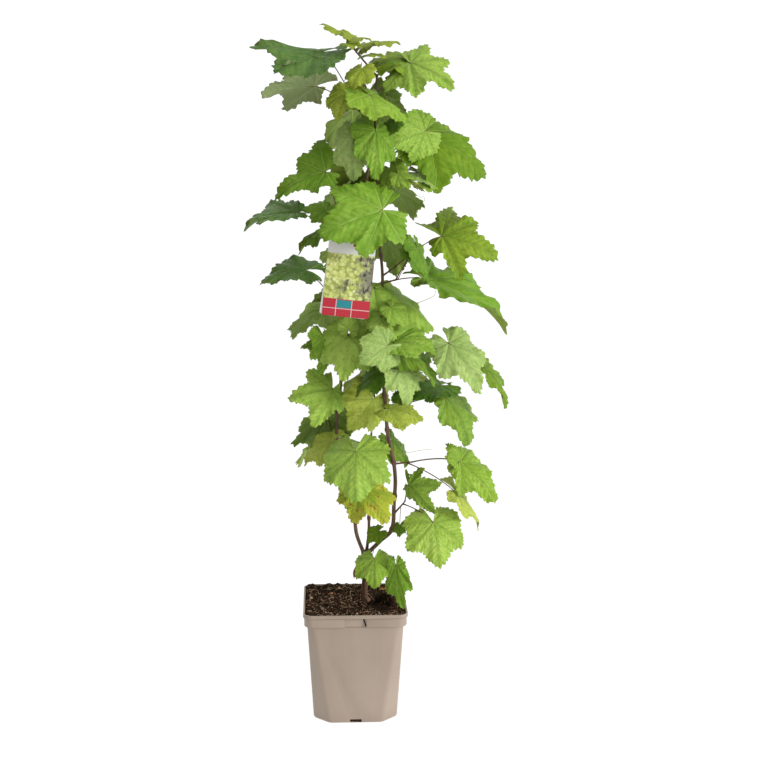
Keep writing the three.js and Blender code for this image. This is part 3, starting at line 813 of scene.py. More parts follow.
def hollow_share(x, y):
    """1 in the soil's hollow and 0 outside it, with steep sides"""
    across = (x - HOLLOW_CENTRE[0]) / HOLLOW_REACH[0]
    along = (y - HOLLOW_CENTRE[1]) / HOLLOW_REACH[1]
    return math.exp(-(across ** 2 + along ** 2) ** 4)


def make_soil():
    deselect()
    bpy.ops.mesh.primitive_grid_add(
        x_subdivisions=SOIL_GRID, y_subdivisions=SOIL_GRID, size=SOIL_WIDTH * MM)
    soil = bpy.context.object
    soil.name = "soil_bed"
    inner = SOIL_WIDTH / 2 - SOIL_CORNER
    for vert in soil.data.vertices:
        x, y = vert.co.x / MM, vert.co.y / MM
        beyond = Vector((max(abs(x) - inner, 0), max(abs(y) - inner, 0)))
        if beyond.x > 0 and beyond.y > 0 and beyond.length > SOIL_CORNER:
            beyond *= SOIL_CORNER / beyond.length
            x = math.copysign(inner + beyond.x, x)
            y = math.copysign(inner + beyond.y, y)
        vert.co = Vector((x, y, soil_height(x, y))) * MM
    enter("EDIT")
    bpy.ops.mesh.select_all(action="SELECT")
    bpy.ops.mesh.remove_doubles(threshold=WELD * MM)
    bpy.ops.mesh.region_to_loop()
    raise_face(-SKIRT_TUCK)
    stretch(SKIRT_SHARE, SKIRT_SHARE)
    raise_face(-SKIRT_DEPTH)
    bpy.ops.mesh.edge_face_add()
    bpy.ops.mesh.select_all(action="SELECT")
    bpy.ops.mesh.normals_make_consistent(inside=False)
    enter("OBJECT")
    shade = [hollow_share(v.co.x / MM, v.co.y / MM) for v in soil.data.vertices]
    set_values(soil.data, "shade", shade)
    smooth(soil, 80)
    finish = soil_finish()
    soil.data.materials.append(finish)
    settle(soil, ["soil"])
    core = tapered_block(
        "soil_core", FLOOR + CORE_LIFT, BAND_FOOT, WALL + CORE_CLEAR, HOLLOW_ROUNDING)
    enter("OBJECT")
    core.data.materials.append(finish)
    settle(core, ["soil"])


# Meshes from arrays


class Heap:
    """Many small closed shapes that are joined into one mesh, with a value for each vertex"""

    def __init__(self):
        self.points = []
        self.faces = []
        self.values = {}
        self.count = 0

    def add(self, points, faces, **values):
        self.points.append(np.asarray(points, float))
        self.faces.extend([tuple(int(i) + self.count for i in face) for face in faces])
        for name, value in values.items():
            spread = np.broadcast_to(np.asarray(value, float), (len(points),))
            self.values.setdefault(name, []).append(spread)
        self.count += len(points)

    def mesh(self, name, material, flat=False):
        data = bpy.data.meshes.new(name)
        data.from_pydata(np.concatenate(self.points) * MM, [], self.faces)
        data.materials.append(material)
        data.polygons.foreach_set("use_smooth", [not flat] * len(data.polygons))
        for key, parts in self.values.items():
            set_values(data, key, np.concatenate(parts))
        data.update()
        piece = bpy.data.objects.new(name, data)
        bpy.context.scene.collection.objects.link(piece)
        return piece


def tube_shape(points, radii, sides):
    """Vertices and faces of a closed tube, its rings square to the path"""
    points = np.asarray(points, float)
    along = np.gradient(points, axis=0)
    along /= np.linalg.norm(along, axis=1)[:, None]
    side = np.array([1.0, 0.0, 0.0]) if abs(along[0][0]) < 0.9 else np.array([0.0, 1.0, 0.0])
    turns = np.arange(sides) * 2 * np.pi / sides
    rings = []
    for point, way, radius in zip(points, along, radii):
        side = side - way * side.dot(way)
        side /= np.linalg.norm(side)
        up = np.cross(way, side)
        rings.append(point + radius * (np.outer(np.cos(turns), side) + np.outer(np.sin(turns), up)))
    faces = []
    for k in range(len(points) - 1):
        for i in range(sides):
            j = (i + 1) % sides
            faces.append((k * sides + i, k * sides + j, (k + 1) * sides + j, (k + 1) * sides + i))
    last = (len(points) - 1) * sides
    faces.append(tuple(range(sides - 1, -1, -1)))
    faces.append(tuple(last + i for i in range(sides)))
    return np.concatenate(rings), faces


def seeded(seed):
    """Numbers between 0 and 1 by the rule that the solid model uses"""
    state = seed

    def draw():
        nonlocal state
        state = state * 16807 % 2147483647
        return state / 2147483647

    return draw


def direction(heading, rise):
    level = math.cos(math.radians(rise))
    turn = math.radians(heading)
    return np.array([level * math.cos(turn), level * math.sin(turn), math.sin(math.radians(rise))])


# Limbs

TRUNK_PATH = [(18, 31, 188.3), (17, 29, 205), (21, 21, 245), (21, 10, 282)]
LEFT_PATH = [
    (17, 8, 280), (3, 5, 318), (0, 3, 364), (-20, -2, 440), (-29, -3, 500), (-26, -5, 560),
    (-10, -7, 700), (14, -9, 870), (30, -11, 1000),
]
RIGHT_PATH = [
    (24, 11, 281), (46, 13, 303), (66, 13, 322), (71, 11, 380), (69, 9, 450), (57, 8, 510),
    (52, 8, 600), (49, 8, 760), (40, 8, 915), (36, 10, 1020), (41, 12, 1108),
]
MIDDLE_PATH = [(22, 17, 283), (26, 20, 335), (29, 18, 420), (33, 17, 520), (36, 18, 580)]

# Canes: name, path, radius at the foot and at the tip, and the way from one node to the next
CANES = (
    ("left", LEFT_PATH, 3.3, 1.8, 68),
    ("right", RIGHT_PATH, 3.6, 1.8, 62),
    ("middle", MIDDLE_PATH, 2.6, 1.4, 60),
)


def point_on(path, share):
    """A point of the smooth curve through a path, as the solid model draws it"""
    path = np.asarray(path, float)
    place = (len(path) - 1) * share
    start = min(int(place), len(path) - 2)
    weight = place - start
    ends = np.concatenate([[2 * path[0] - path[1]], path, [2 * path[-1] - path[-2]]])
    p0, p1, p2, p3 = ends[start:start + 4]
    d0, d1, d2 = (np.linalg.norm(b - a) ** 0.5 for a, b in ((p0, p1), (p1, p2), (p2, p3)))
    leave = ((p1 - p0) / d0 - (p2 - p0) / (d0 + d1) + (p2 - p1) / d1) * d1
    reach = ((p2 - p1) / d1 - (p3 - p1) / (d1 + d2) + (p3 - p2) / d2) * d1
    square, cube = weight ** 2, weight ** 3
    return (p1 + leave * weight + (3 * (p2 - p1) - 2 * leave - reach) * square
            + (2 * (p1 - p2) + leave + reach) * cube)


def point_at_height(path, height):
    low, high = 0.0, 1.0
    for _ in range(30):
        middle = (low + high) / 2
        if point_on(path, middle)[2] < height:
            low = middle
        else:
            high = middle
    return point_on(path, low)


def run_along(points):
    """The way gone at each point of a line of points"""
    return np.concatenate([[0], np.cumsum(np.linalg.norm(np.diff(points, axis=0), axis=1))])


def at_stops(stops, run, rows):
    """Rows of numbers that go with a run, read off at other stops along it"""
    return np.stack([np.interp(stops, run, column) for column in rows.T], axis=1)


def even_points(path, spacing):
    """Points along a path's curve at about even distances"""
    dense = np.array([point_on(path, t) for t in np.linspace(0, 1, 600)])
    run = run_along(dense)
    stops = np.linspace(0, run[-1], int(run[-1] / spacing) + 1)
    return at_stops(stops, run, dense), stops


def make_limb(name, path, foot, tip, internode, material, sides=28, flare=0, ribs=9):
    """A limb with ribs that wander along it, swollen nodes and split bark"""
    points, run = even_points(path, LIMB_STEP)
    length = run[-1]
    share = run / length
    nodes = max(round(length / internode), 1)
    phase = (share * nodes) % 1
    near = np.minimum(phase, 1 - phase) * length / nodes
    knot = np.exp(-(near / KNOT_REACH) ** 2) if internode < length else np.zeros_like(near)
    core = foot + (tip - foot) * share
    core = core * (1 + KNOT_SWELL * knot) + flare * foot * np.exp(-run / FLARE_REACH)
    skin, faces = tube_shape(points, core, sides)
    centres = np.repeat(points, sides, axis=0)
    outward = skin - centres
    kink = ZIGZAG * np.sin(np.pi * share * nodes) * min(nodes - 1, 1)
    centres = centres + np.repeat(kink, sides)[:, None] * (1, 0, 0)
    turn = np.tile(np.arange(sides) * 2 * np.pi / sides, len(points))
    along = np.repeat(run, sides)
    drift = np.array([noise.noise(Vector((a / DRIFT_LENGTH, core[0], 0))) for a in along])
    rib = np.cos(turn * ribs + drift * 3 + along / TWIST_LENGTH)
    split = np.array([bark_split(t, a, core[0]) for t, a in zip(turn, along)])
    # The grooves' share, which the bark's finish darkens as painted shade
    groove = np.clip(-rib, 0, 1) ** 1.5 * 0.6 + np.clip(-split * 1.6, 0, 1) * 0.5
    lift = 1 + RIB_LIFT * rib + SPLIT_LIFT * split
    heap = Heap()
    heap.add(centres + outward * lift[:, None], faces,
             groove=np.clip(groove, 0, 1), node=np.repeat(knot, sides))
    return heap.mesh(name, material)


def bark_split(turn, along, shift):
    """How far the bark is split or raised at a turn round a limb and a way along it"""
    place = (math.cos(turn) * SPLIT_WIDTH, math.sin(turn) * SPLIT_WIDTH, along / SPLIT_LENGTH + shift)
    return noise.fractal(Vector(place), 0.9, 2.2, 3)


def make_limbs():
    old = bark_finish("bark_old_brown", (142, 106, 78), (58, 38, 28), (104, 66, 44))
    young = bark_finish("bark_young_red", (124, 94, 68), (58, 42, 32), (98, 56, 42))
    trunk = make_limb("trunk_bark", TRUNK_PATH, 5.4, 5.9, 60, old, sides=40, flare=0.9, ribs=11)
    settle(trunk, ["trunk"])
    for name, *sizes in CANES:
        cane = make_limb(f"cane_{name}_bark", *sizes, young)
        settle(cane, [f"cane_{name}"])


# Foliage

OUTLINE = [(0, 1), (28, 0.76), (50, 0.88), (74, 0.71), (97, 0.72), (123, 0.6), (157, 0.44)]
SMALL_OUTLINE = [(0, 1), (27, 0.74), (50, 0.85), (95, 0.6), (155, 0.4)]
VEINS = (0, 50, 97, 137)

# A leaf's bend along its midrib, droop of its sides, fold and margin, its twist and lean to one side,
# its width, the depth of the bays between its lobes, and the reach of its lobes at each side from the
# stalk's end round the tip
PLAIN_FORM = {
    "arch": 0.2,
    "cup": 0.15,
    "fold": 0.08,
    "curl": 0.16,
    "twist": 0,
    "skew": 0,
    "wide": 0.86,
    "lobes": 1.1,
    "reach": (1, 1, 1, 1),
}
LOBES = (-97, -50, 0, 50, 97)

# The lobes' tips and the ends beside the stalk keep their reach, however deep the bays are
FIRM_ANGLES = (0, 50, 95, 97, 155, 157)

# How far chance moves the outline's knots, and the lead and shoulder of its teeth
KNOT_SWING = 7
KNOT_CHANCE = 0.09
EDGE_POINTS = 641
TOOTH_LEAD = 0.62
TOOTH_SHOULDER = 0.62


class Blade:
    """Where one leaf's stalk joins it, its length, the way its midrib points, and its form"""

    def __init__(self, kind, junction, length, heading, droop, roll, **form):
        self.kind = kind
        self.junction = np.array(junction, float)
        self.length = length
        self.small = length < SMALL_LEAF
        self.form = {**PLAIN_FORM, **form}
        self.midrib = direction(heading, -droop)
        turn = math.radians(heading)
        level = np.array([-math.sin(turn), math.cos(turn), 0])
        upright = np.cross(self.midrib, level)
        roll = math.radians(roll)
        self.across = level * math.cos(roll) + upright * math.sin(roll)
        self.normal = np.cross(self.midrib, self.across)

    def surface(self, x, y, height=0.0):
        """Points of the blade's middle surface from flat leaf coordinates, in leaf lengths"""
        form = self.form
        y = y * form["wide"]
        lift = form["arch"] * (x - x * x) - form["cup"] * y * y - form["fold"] * np.abs(y)
        lift = lift + form["twist"] * x * y
        far = np.maximum(np.hypot(x, y) - CURL_START, 0)
        lift = lift - form["curl"] * far ** 2
        up = lift * self.length + height
        return (self.junction + np.multiply.outer(x * self.length, self.midrib)
                + np.multiply.outer(y * self.length, self.across) + np.multiply.outer(up, self.normal))


def outline_reach(knots, angle):
    """Reach of the outline without its teeth: lobes come to a point and the bays between are round"""
    for (a, low), (b, high) in zip(knots, knots[1:]):
        if angle <= b:
            t = (angle - a) / (b - a)
            ease = 0.5 * t + 0.25 * (1 - math.cos(math.pi * t))
            return low + (high - low) * ease
    return knots[-1][1]


def side_knots(blade, random):
    """The outline's knots left and right of the midrib, each moved a little by chance"""
    knots = []
    for angle, reach in SMALL_OUTLINE if blade.small else OUTLINE:
        deep = reach if angle in FIRM_ANGLES else 1 - (1 - reach) * blade.form["lobes"]
        knots.append((angle, deep))
    sides = []
    for _ in range(2):
        moved = []
        for angle, reach in knots:
            turn = (random() - 0.5) * KNOT_SWING * (0 < angle < 150)
            moved.append((angle + turn, reach * (1 + (random() - 0.5) * KNOT_CHANCE)))
        sides.append([knots[0], *moved[1:]])
    return sides


def smooth_edge(blade, random):
    """The outline without its teeth, as flat points from one end beside the stalk to the other"""
    sides = side_knots(blade, random)
    end = (SMALL_OUTLINE if blade.small else OUTLINE)[-1][0]
    angles = np.linspace(-end, end, EDGE_POINTS)
    reach = np.array([outline_reach(sides[a > 0], abs(a)) for a in angles])
    lean = 1 + blade.form["skew"] * np.sign(angles) * np.minimum(np.abs(angles) / 60, 1)
    base_left, left, right, base_right = blade.form["reach"]
    lean *= np.interp(angles, LOBES, (base_left, left, 1, right, base_right))
    turn = np.radians(angles)
    return np.stack([reach * lean * np.cos(turn), reach * lean * np.sin(turn)], axis=1)


def leaf_edge(blade, random, teeth):
    """The outline's points with their outward ways and the height of the teeth"""
    edge = smooth_edge(blade, random)
    run = run_along(edge)
    widths = np.array([0.6 + 0.8 * random() for _ in range(teeth)])
    bounds = np.concatenate([[0], np.cumsum(widths)]) / widths.sum() * run[-1]
    stops, heights = [], []
    for start, width in zip(bounds, np.diff(bounds)):
        tall = width * (0.24 + 0.32 * random())
        if start + width / 2 < run[-1] / 2:
            stops += [start, start + width * TOOTH_LEAD * 0.5, start + width * TOOTH_LEAD]
            heights += [0, tall * TOOTH_SHOULDER, tall]
        else:
            lead = 1 - TOOTH_LEAD
            stops += [start, start + width * lead, start + width * (lead + (1 - lead) * 0.5)]
            heights += [0, tall, tall * TOOTH_SHOULDER]
    points = at_stops(stops + [run[-1]], run, edge)
    way = at_stops(stops + [run[-1]], run, np.gradient(edge, axis=0))
    way /= np.linalg.norm(way, axis=1)[:, None] + 1e-9
    outward = np.stack([way[:, 1], -way[:, 0]], axis=1)
    return points, outward, np.array(heights + [0])


def leaf_grid(count, rings):
    """Faces of one leaf: two skins of rings round the stalk's end, and the rim that joins them"""
    skin = 1 + rings * count
    top = []
    for i in range(count - 1):
        top.append((0, 1 + i, 2 + i))
        for k in range(rings - 1):
            a = 1 + k * count + i
            top.append((a, a + count, a + count + 1, a + 1))
    under = [tuple(v + skin for v in reversed(face)) for face in top]
    first = [1 + k * count for k in range(rings)]
    last = [v + count - 1 for v in first]
    loop = [0, *first, *range(first[-1] + 1, last[-1]), *reversed(last)]
    rim = [(a, a + skin, b + skin, b) for a, b in zip(loop, loop[1:] + loop[:1])]
    return top, under, rim


FULL_RINGS = np.array([0.1, 0.26, 0.42, 0.57, 0.7, 0.81, 0.9, 0.96, 1.0])
SMALL_RINGS = np.array([0.3, 0.6, 0.85, 1.0])
FULL_TEETH = 42
SMALL_TEETH = 22
GRIDS = {
    False: leaf_grid(3 * FULL_TEETH + 1, len(FULL_RINGS)),
    True: leaf_grid(3 * SMALL_TEETH + 1, len(SMALL_RINGS)),
}


def vein_distance(x, y):
    """Distance from the nearest main vein, in leaf lengths"""
    angle = np.degrees(np.arctan2(np.abs(y), x))
    turn = np.min([np.abs(angle - vein) for vein in VEINS], axis=0)
    return np.hypot(x, y) * np.sin(np.radians(turn))


def leaf_relief(x, y, share, run, random):
    """A face's height in leaf lengths: a rippled margin, sunken veins and drooping lobes"""
    waves = 2 * np.pi * (run * (5 + 2 * random()) + random())
    ripple = RIPPLE * share ** 3 * np.sin(waves) + FINE_RIPPLE * share ** 4 * np.sin(waves * 2.7)
    sway = SWAY * share ** 2 * np.sin(2.5 * np.arctan2(y, x) + 2 * np.pi * random())
    apart = vein_distance(x, y)
    relief = -VEIN_DEPTH * np.exp(-(apart / 0.05) ** 2) * np.clip(1.15 - share, 0, 1)
    hang = -HANG * np.clip(share - 0.55, 0, 1) ** 2 * np.exp(-(apart / 0.14) ** 2)
    quilt = QUILT * np.sin(x * 38 + random() * 6) * np.sin(y * 34 + random() * 6)
    return ripple + sway + relief + hang + quilt * (1 - share ** 4)


class LeafHeap(Heap):
    """Leaves joined into one mesh, with a leaf map and a bake layout of one square for each skin"""

    def __init__(self):
        super().__init__()
        self.maps = []
        self.charts = []

    def grow(self, blade, seed):
        random = seeded(seed * 7919 + 13)
        teeth, shares = (SMALL_TEETH, SMALL_RINGS) if blade.small else (FULL_TEETH, FULL_RINGS)
        edge, outward, heights = leaf_edge(blade, random, teeth)
        bite = np.clip((shares - 0.84) / 0.16, 0, 1) ** 1.5
        flat = shares[:, None, None] * edge + (bite[:, None] * heights)[..., None] * outward
        flat = np.concatenate([[[0.0, 0.0]], flat.reshape(-1, 2)])
        share = np.concatenate([[0], np.repeat(shares, len(edge))])
        x, y = flat.T
        run = np.tile(np.linspace(0, 1, len(edge)), len(shares))
        lift = leaf_relief(x, y, share, np.concatenate([[0.5], run]), random) * blade.length
        half = LEAF_THICKNESS / 2 * (1 - 0.35 * share)
        skins = [blade.surface(x, y, lift + half), blade.surface(x, y, lift - half)]
        faces = GRIDS[blade.small]
        below = np.repeat([0.0, 1.0], len(flat))
        self.add(np.concatenate(skins), [f for part in faces for f in part],
                 below=below, rim=np.tile(share, 2), tint=random() - 0.5)
        self.maps.append(np.tile(flat, (2, 1)))
        self.charts.append((flat, faces))

    def piece(self, name, material):
        made = self.mesh(name, material)
        self.map_leaf(made)
        self.map_bake(made)
        return made

    def map_leaf(self, piece):
        flat = np.concatenate(self.maps)
        corners = np.empty(len(piece.data.loops), int)
        piece.data.loops.foreach_get("vertex_index", corners)
        layer = piece.data.uv_layers.new(name="leaf")
        layer.uv.foreach_set("vector", flat[corners].ravel())

    def map_bake(self, piece):
        """Each skin flat in its own square, with the rim as a thin ring round the upper one"""
        cells = math.ceil(math.sqrt(2 * len(self.charts)))
        corners = []
        for number, (flat, (top, under, rim)) in enumerate(self.charts):
            low, high = flat.min(axis=0), flat.max(axis=0)
            size = (high - low).max() * 1.1
            squares = []
            for chart in (2 * number, 2 * number + 1):
                corner = np.array(divmod(chart, cells), float)
                squares.append((corner + 0.5 + (flat - (low + high) / 2) / size) / cells)
            skin = len(flat)
            for part in (top, under):
                for face in part:
                    corners += [squares[v >= skin][v % skin] for v in face]
            middle = squares[0].mean(axis=0)
            for face in rim:
                for v in face:
                    near = squares[0][v % skin]
                    corners.append(near + (near - middle) * 0.03 if v >= skin else near)
        layer = piece.data.uv_layers.new(name="OFBake")
        layer.uv.foreach_set("vector", np.array(corners).ravel())


# Masses: the limb and height where each stem leaves, its heading, rise and reach, then its leaves
MASSES = {
    "crown_left": (RIGHT_PATH, 1005, 175, 60, 60, [
        Blade("deep", (-51, 10, 1147), 118, 175, -6, -20, arch=-0.15, cup=0.05, fold=0.18, lobes=1.3),
        Blade("grey", (-63, 20, 1089), 92, -170, 8, 48, arch=0.15, cup=0, fold=-0.1, lobes=1.5,
              reach=(0.5, 0.95, 1, 1)),
    ]),
    "crown_tip": (RIGHT_PATH, 1104, 190, 48, 66, [
        Blade("lime", (-26, -10, 1178), 30, 175, -18, -10),
        Blade("lime", (1, 6, 1169), 36, -168, -14, -24),
        Blade("lime", (2, -8, 1165), 30, -20, 5, 15),
        Blade("lime", (-11, -16, 1156), 27, -10, 12, 10),
        Blade("lime", (16, 14, 1152), 32, 17, -24, 15),
        Blade("lime", (45, -6, 1160), 34, -5, 7, 10),
    ]),
    "crown_front": (RIGHT_PATH, 1048, -115, 25, 32, [
        Blade("lime", (13, -35, 1115), 42, -130, 54, -10),
        Blade("lime", (-9, -20, 1075), 52, -128, 56, -12, cup=0.05, fold=-0.15),
        Blade("bright", (27, -40, 1073), 78, -25, 37, 12, skew=-0.1, lobes=1.3),
    ]),
    "crown_right": (RIGHT_PATH, 1076, 5, 45, 34, [
        Blade("fresh", (94, -10, 1126), 88, -30, 26, 42, skew=-0.05, lobes=1.5),
        Blade("olive", (92, 10, 1131), 72, 160, 0, -25),
        Blade("dark", (86, 14, 1115), 36, -28, 58, 20),
    ]),
    "upper_right": (RIGHT_PATH, 955, 0, 35, 46, [
        Blade("olive", (123, 12, 1016), 128, 0, 38, 45, skew=-0.15, lobes=1.3,
              reach=(0.8, 0.9, 0.97, 0.6)),
        Blade("fresh", (119, -20, 1014), 66, -160, 18, -80),
        Blade("bright", (61, -12, 953), 42, -53, 45, 60),
        Blade("pale", (108, -12, 946), 50, 0, 27, 20),
    ]),
    "upper_front": (RIGHT_PATH, 985, -100, 10, 34, [
        Blade("pale", (0, -42, 1004), 72, -100, 80, 10, wide=0.7),
        Blade("fresh", (36, -54, 1015), 80, -88, 68, -10, wide=0.65, cup=0.2, fold=0.3,
              reach=(1, 1, 0.95, 0.7)),
    ]),
    "upper_left": (LEFT_PATH, 800, 175, 62, 44, [
        Blade("fresh", (-47, 0, 948), 97, 180, 24, -58, arch=0.45, lobes=1.6,
              reach=(1.15, 0.65, 0.6, 0.5)),
        Blade("deep", (-96, 0, 880), 94, 172, 14, -20, fold=-0.2, cup=0, reach=(0.4, 1, 1, 0.4)),
        Blade("dark", (-46, -46, 884), 38, 168, -5, -47),
        Blade("dark", (-32, 12, 862), 82, 176, 38, -12, wide=0.5),
    ]),
    "front": (RIGHT_PATH, 862, -95, 20, 44, [
        Blade("fresh", (46, -85, 888), 112, -165, 19, -65, lobes=1.3, reach=(0.85, 0.95, 0.9, 0.85)),
    ]),
    "left_reach": (LEFT_PATH, 708, 165, 40, 28, [
        Blade("deep", (-82, -10, 784), 80, 178, 12, -28, arch=0.3, wide=0.85, reach=(1, 0.9, 0.6, 0.7)),
    ]),
    "right_upper": (RIGHT_PATH, 770, 0, 35, 26, [
        Blade("olive", (150, 0, 839), 101, -11, 17, 54, wide=0.9, fold=0.2, lobes=1.8,
              reach=(0.5, 0.9, 0.85, 1.3)),
    ]),
    "right_reach": (RIGHT_PATH, 758, -8, 15, 28, [
        Blade("dark", (106, -24, 819), 44, -168, -27, -44),
        Blade("dark", (107, -40, 820), 58, -28, 73, 0, wide=0.7),
        Blade("fresh", (124, -10, 767), 162, -8, 28, 14, fold=-0.25, lobes=1.4,
              reach=(0.3, 0.85, 0.9, 0.6)),
    ]),
    "centre": (RIGHT_PATH, 705, -80, 15, 30, [
        Blade("fresh", (34, -16, 755), 122, -12, 30, 30, fold=0.5, wide=1, reach=(0.25, 1, 0.9, 0.4)),
        Blade("fresh", (66, -64, 669), 70, -13, 8, 28, fold=-0.1),
        Blade("pale", (54, -97, 666), 58, -150, 25, -70, wide=0.85),
    ]),
    "centre_low": (RIGHT_PATH, 618, -85, 15, 32, [
        Blade("dark", (72, -42, 655), 90, -30, 33, 10, reach=(0.65, 0.9, 0.95, 0.7)),
        Blade("pale", (74, -77, 625), 64, -60, 58, -10),
        Blade("dark", (51, -30, 616), 66, -170, 37, -17),
    ]),
    "left_centre": (LEFT_PATH, 640, -110, 25, 30, [
        Blade("bright", (-9, -34, 677), 90, -100, 50, -10, wide=0.7, cup=0.2, fold=0.35),
        Blade("bright", (-9, -40, 684), 30, 90, -75, 0),
        Blade("fresh", (-50, -20, 665), 58, -100, 68, -50, wide=0.7),
    ]),
    "left_low": (LEFT_PATH, 545, -150, 40, 24, [
        Blade("fresh", (-36, -20, 582), 80, -125, 45, -50, wide=0.95, lobes=1.5,
              reach=(0.9, 1.1, 0.6, 0.6)),
        Blade("lime", (33, -2, 560), 72, -145, 42, -80),
    ]),
    "right_centre": (RIGHT_PATH, 640, -5, 10, 36, [
        Blade("pale", (160, -40, 662), 100, -40, 50, 25, reach=(0.6, 0.8, 0.9, 0.75)),
        Blade("olive", (226, 0, 613), 78, -25, 54, 5, reach=(0.4, 0.6, 0.9, 0.8)),
    ]),
    "right_hanging": (RIGHT_PATH, 535, 0, 20, 30, [
        Blade("dark", (149, 0, 583), 68, -160, 18, -12),
        Blade("dark", (159, 0, 561), 91, -39, 54, 1, wide=1, reach=(0.5, 0.65, 1, 0.9)),
    ]),
    "low_front": (LEFT_PATH, 440, -100, 40, 28, [
        Blade("fresh", (0, -80, 485), 86, -92, 58, 8, wide=0.9, fold=0.25),
        Blade("lime", (-40, -20, 490), 62, 180, 35, -24),
    ]),
    "low_centre": (RIGHT_PATH, 470, -120, 10, 22, [
        Blade("lime", (56, -60, 554), 62, -5, 16, 22, fold=0.15, reach=(0.8, 1, 1, 0.6)),
        Blade("fresh", (68, 35, 478), 54, 0, 60, 28),
        Blade("turning", (7, -52, 414), 82, -45, 35, 30, wide=0.75, reach=(0.85, 1, 1, 0.85)),
    ]),
    "low_right": (RIGHT_PATH, 352, -20, 50, 30, [
        Blade("dark", (93, -12, 409), 68, -35, 40, 75, fold=0.2, lobes=2, reach=(0.3, 0.4, 1.05, 0.95)),
        Blade("bright", (134, -50, 353), 77, -78, 58, 8, wide=0.9, fold=0.15),
    ]),
    "low_reach": (RIGHT_PATH, 442, 0, 5, 30, [
        Blade("bright", (185, 0, 448), 94, -20, 46, 30, wide=0.8, reach=(0.45, 0.8, 0.8, 0.85)),
        Blade("bright", (180, -6, 451), 34, 180, -60, -37),
        Blade("lime", (180, -20, 394), 74, -5, 56, 10, wide=1, reach=(0.5, 0.7, 1.1, 1.1)),
    ]),
    "foot": (TRUNK_PATH, 262, -70, 20, 24, [
        Blade("olive", (43, -12, 327), 29, -165, 37, -35),
        Blade("bright", (33, -50, 290), 54, -91, 44, 5, wide=0.85, fold=0.3),
        Blade("fresh", (69, -70, 283), 74, -70, 68, 40, wide=0.5, reach=(0.5, 1, 0.95, 0.5)),
    ]),
}

# Small leaves at the stems of the masses, too thin for the solid model
SPRIGS = {
    "crown_tip": [
        Blade("lime", (40, -4, 1140), 32, 180, 8, -10),
    ],
    "crown_right": [
        Blade("dark", (66, -30, 1030), 40, -140, 55, 0),
    ],
    "upper_right": [
        Blade("bright", (74, -34, 944), 34, -50, 38, 20),
        Blade("lime", (90, -30, 934), 34, -15, 28, -15),
        Blade("bright", (116, -28, 930), 28, 10, 22, 30),
    ],
    "centre": [
        Blade("fresh", (62, -54, 724), 44, -25, 45, 25),
        Blade("bright", (44, -60, 706), 36, -120, 60, -20),
    ],
    "centre_low": [
        Blade("dark", (50, -40, 690), 42, -170, 25, -20),
    ],
    "left_centre": [
        Blade("dark", (-52, -10, 655), 38, 178, 5, -60, wide=0.5),
    ],
    "right_hanging": [
        Blade("dark", (146, 0, 575), 36, -10, 16, 10),
        Blade("dark", (112, -4, 566), 34, -170, 25, 10),
        Blade("dark", (80, 0, 566), 24, -100, 60, 0),
    ],
    "low_right": [
        Blade("fresh", (80, 8, 331), 20, -100, 60, 0),
    ],
    "foot": [
        Blade("dry", (8, 20, 258), 24, -160, 62, 40, arch=0.7, fold=0.9, twist=0.6),
    ],
}

BACK_STEMS = (
    ("back_crown", RIGHT_PATH, 1036, 97),
    ("back_upper", LEFT_PATH, 900, 84),
    ("back_shoulder", RIGHT_PATH, 814, 106),
    ("back_middle", LEFT_PATH, 690, 100),
    ("back_waist", RIGHT_PATH, 585, 95),
    ("back_low", LEFT_PATH, 465, 105),
)


def back_masses():
    """The far side, dealt out by the solid model's own seeded rule"""
    random = seeded(BACK_SEED)
    between = lambda low, high: low + (high - low) * random()
    kinds = itertools.cycle(BACK_KINDS)
    masses = {}
    for name, path, height, heading in BACK_STEMS:
        tip = point_at_height(path, height) + direction(heading, BACK_RISE) * BACK_REACH
        leaves = []
        for side in (-1, 0, 1):
            turn = heading + BACK_SPREAD * side + between(-5, 5)
            lift = 25 * (1 - side * side) + between(0, 20)
            junction = tip + direction(turn, lift) * between(*BACK_STALK)
            length = between(*BACK_LEAF)
            droop = between(*BACK_DROOP)
            roll = between(-15, 15)
            leaves.append(Blade(next(kinds), junction, length, turn, droop, roll))
        masses[name] = (path, height, heading, BACK_RISE, BACK_REACH, leaves)
    return masses


def petiole_points(start, blade):
    """A stalk that rises in a low arch from the stem and runs out under the blade's midrib"""
    below = lambda x, depth: blade.surface(np.float64(x), np.float64(0), -depth)
    under = below(0, PETIOLE_RADIUS)
    bend = start + (under - start) * STALK_BEND
    bend[2] += STALK_ARCH * np.linalg.norm(under - start)
    t = np.linspace(0, 1, STALK_POINTS)[:, None]
    curve = (1 - t) ** 2 * start + 2 * t * (1 - t) * bend + t ** 2 * under
    sunk = VEIN_DEPTH * blade.length
    return np.concatenate([curve, [below(x, depth + sunk) for x, depth in ((0.05, 0.6), (0.16, 0.3))]])


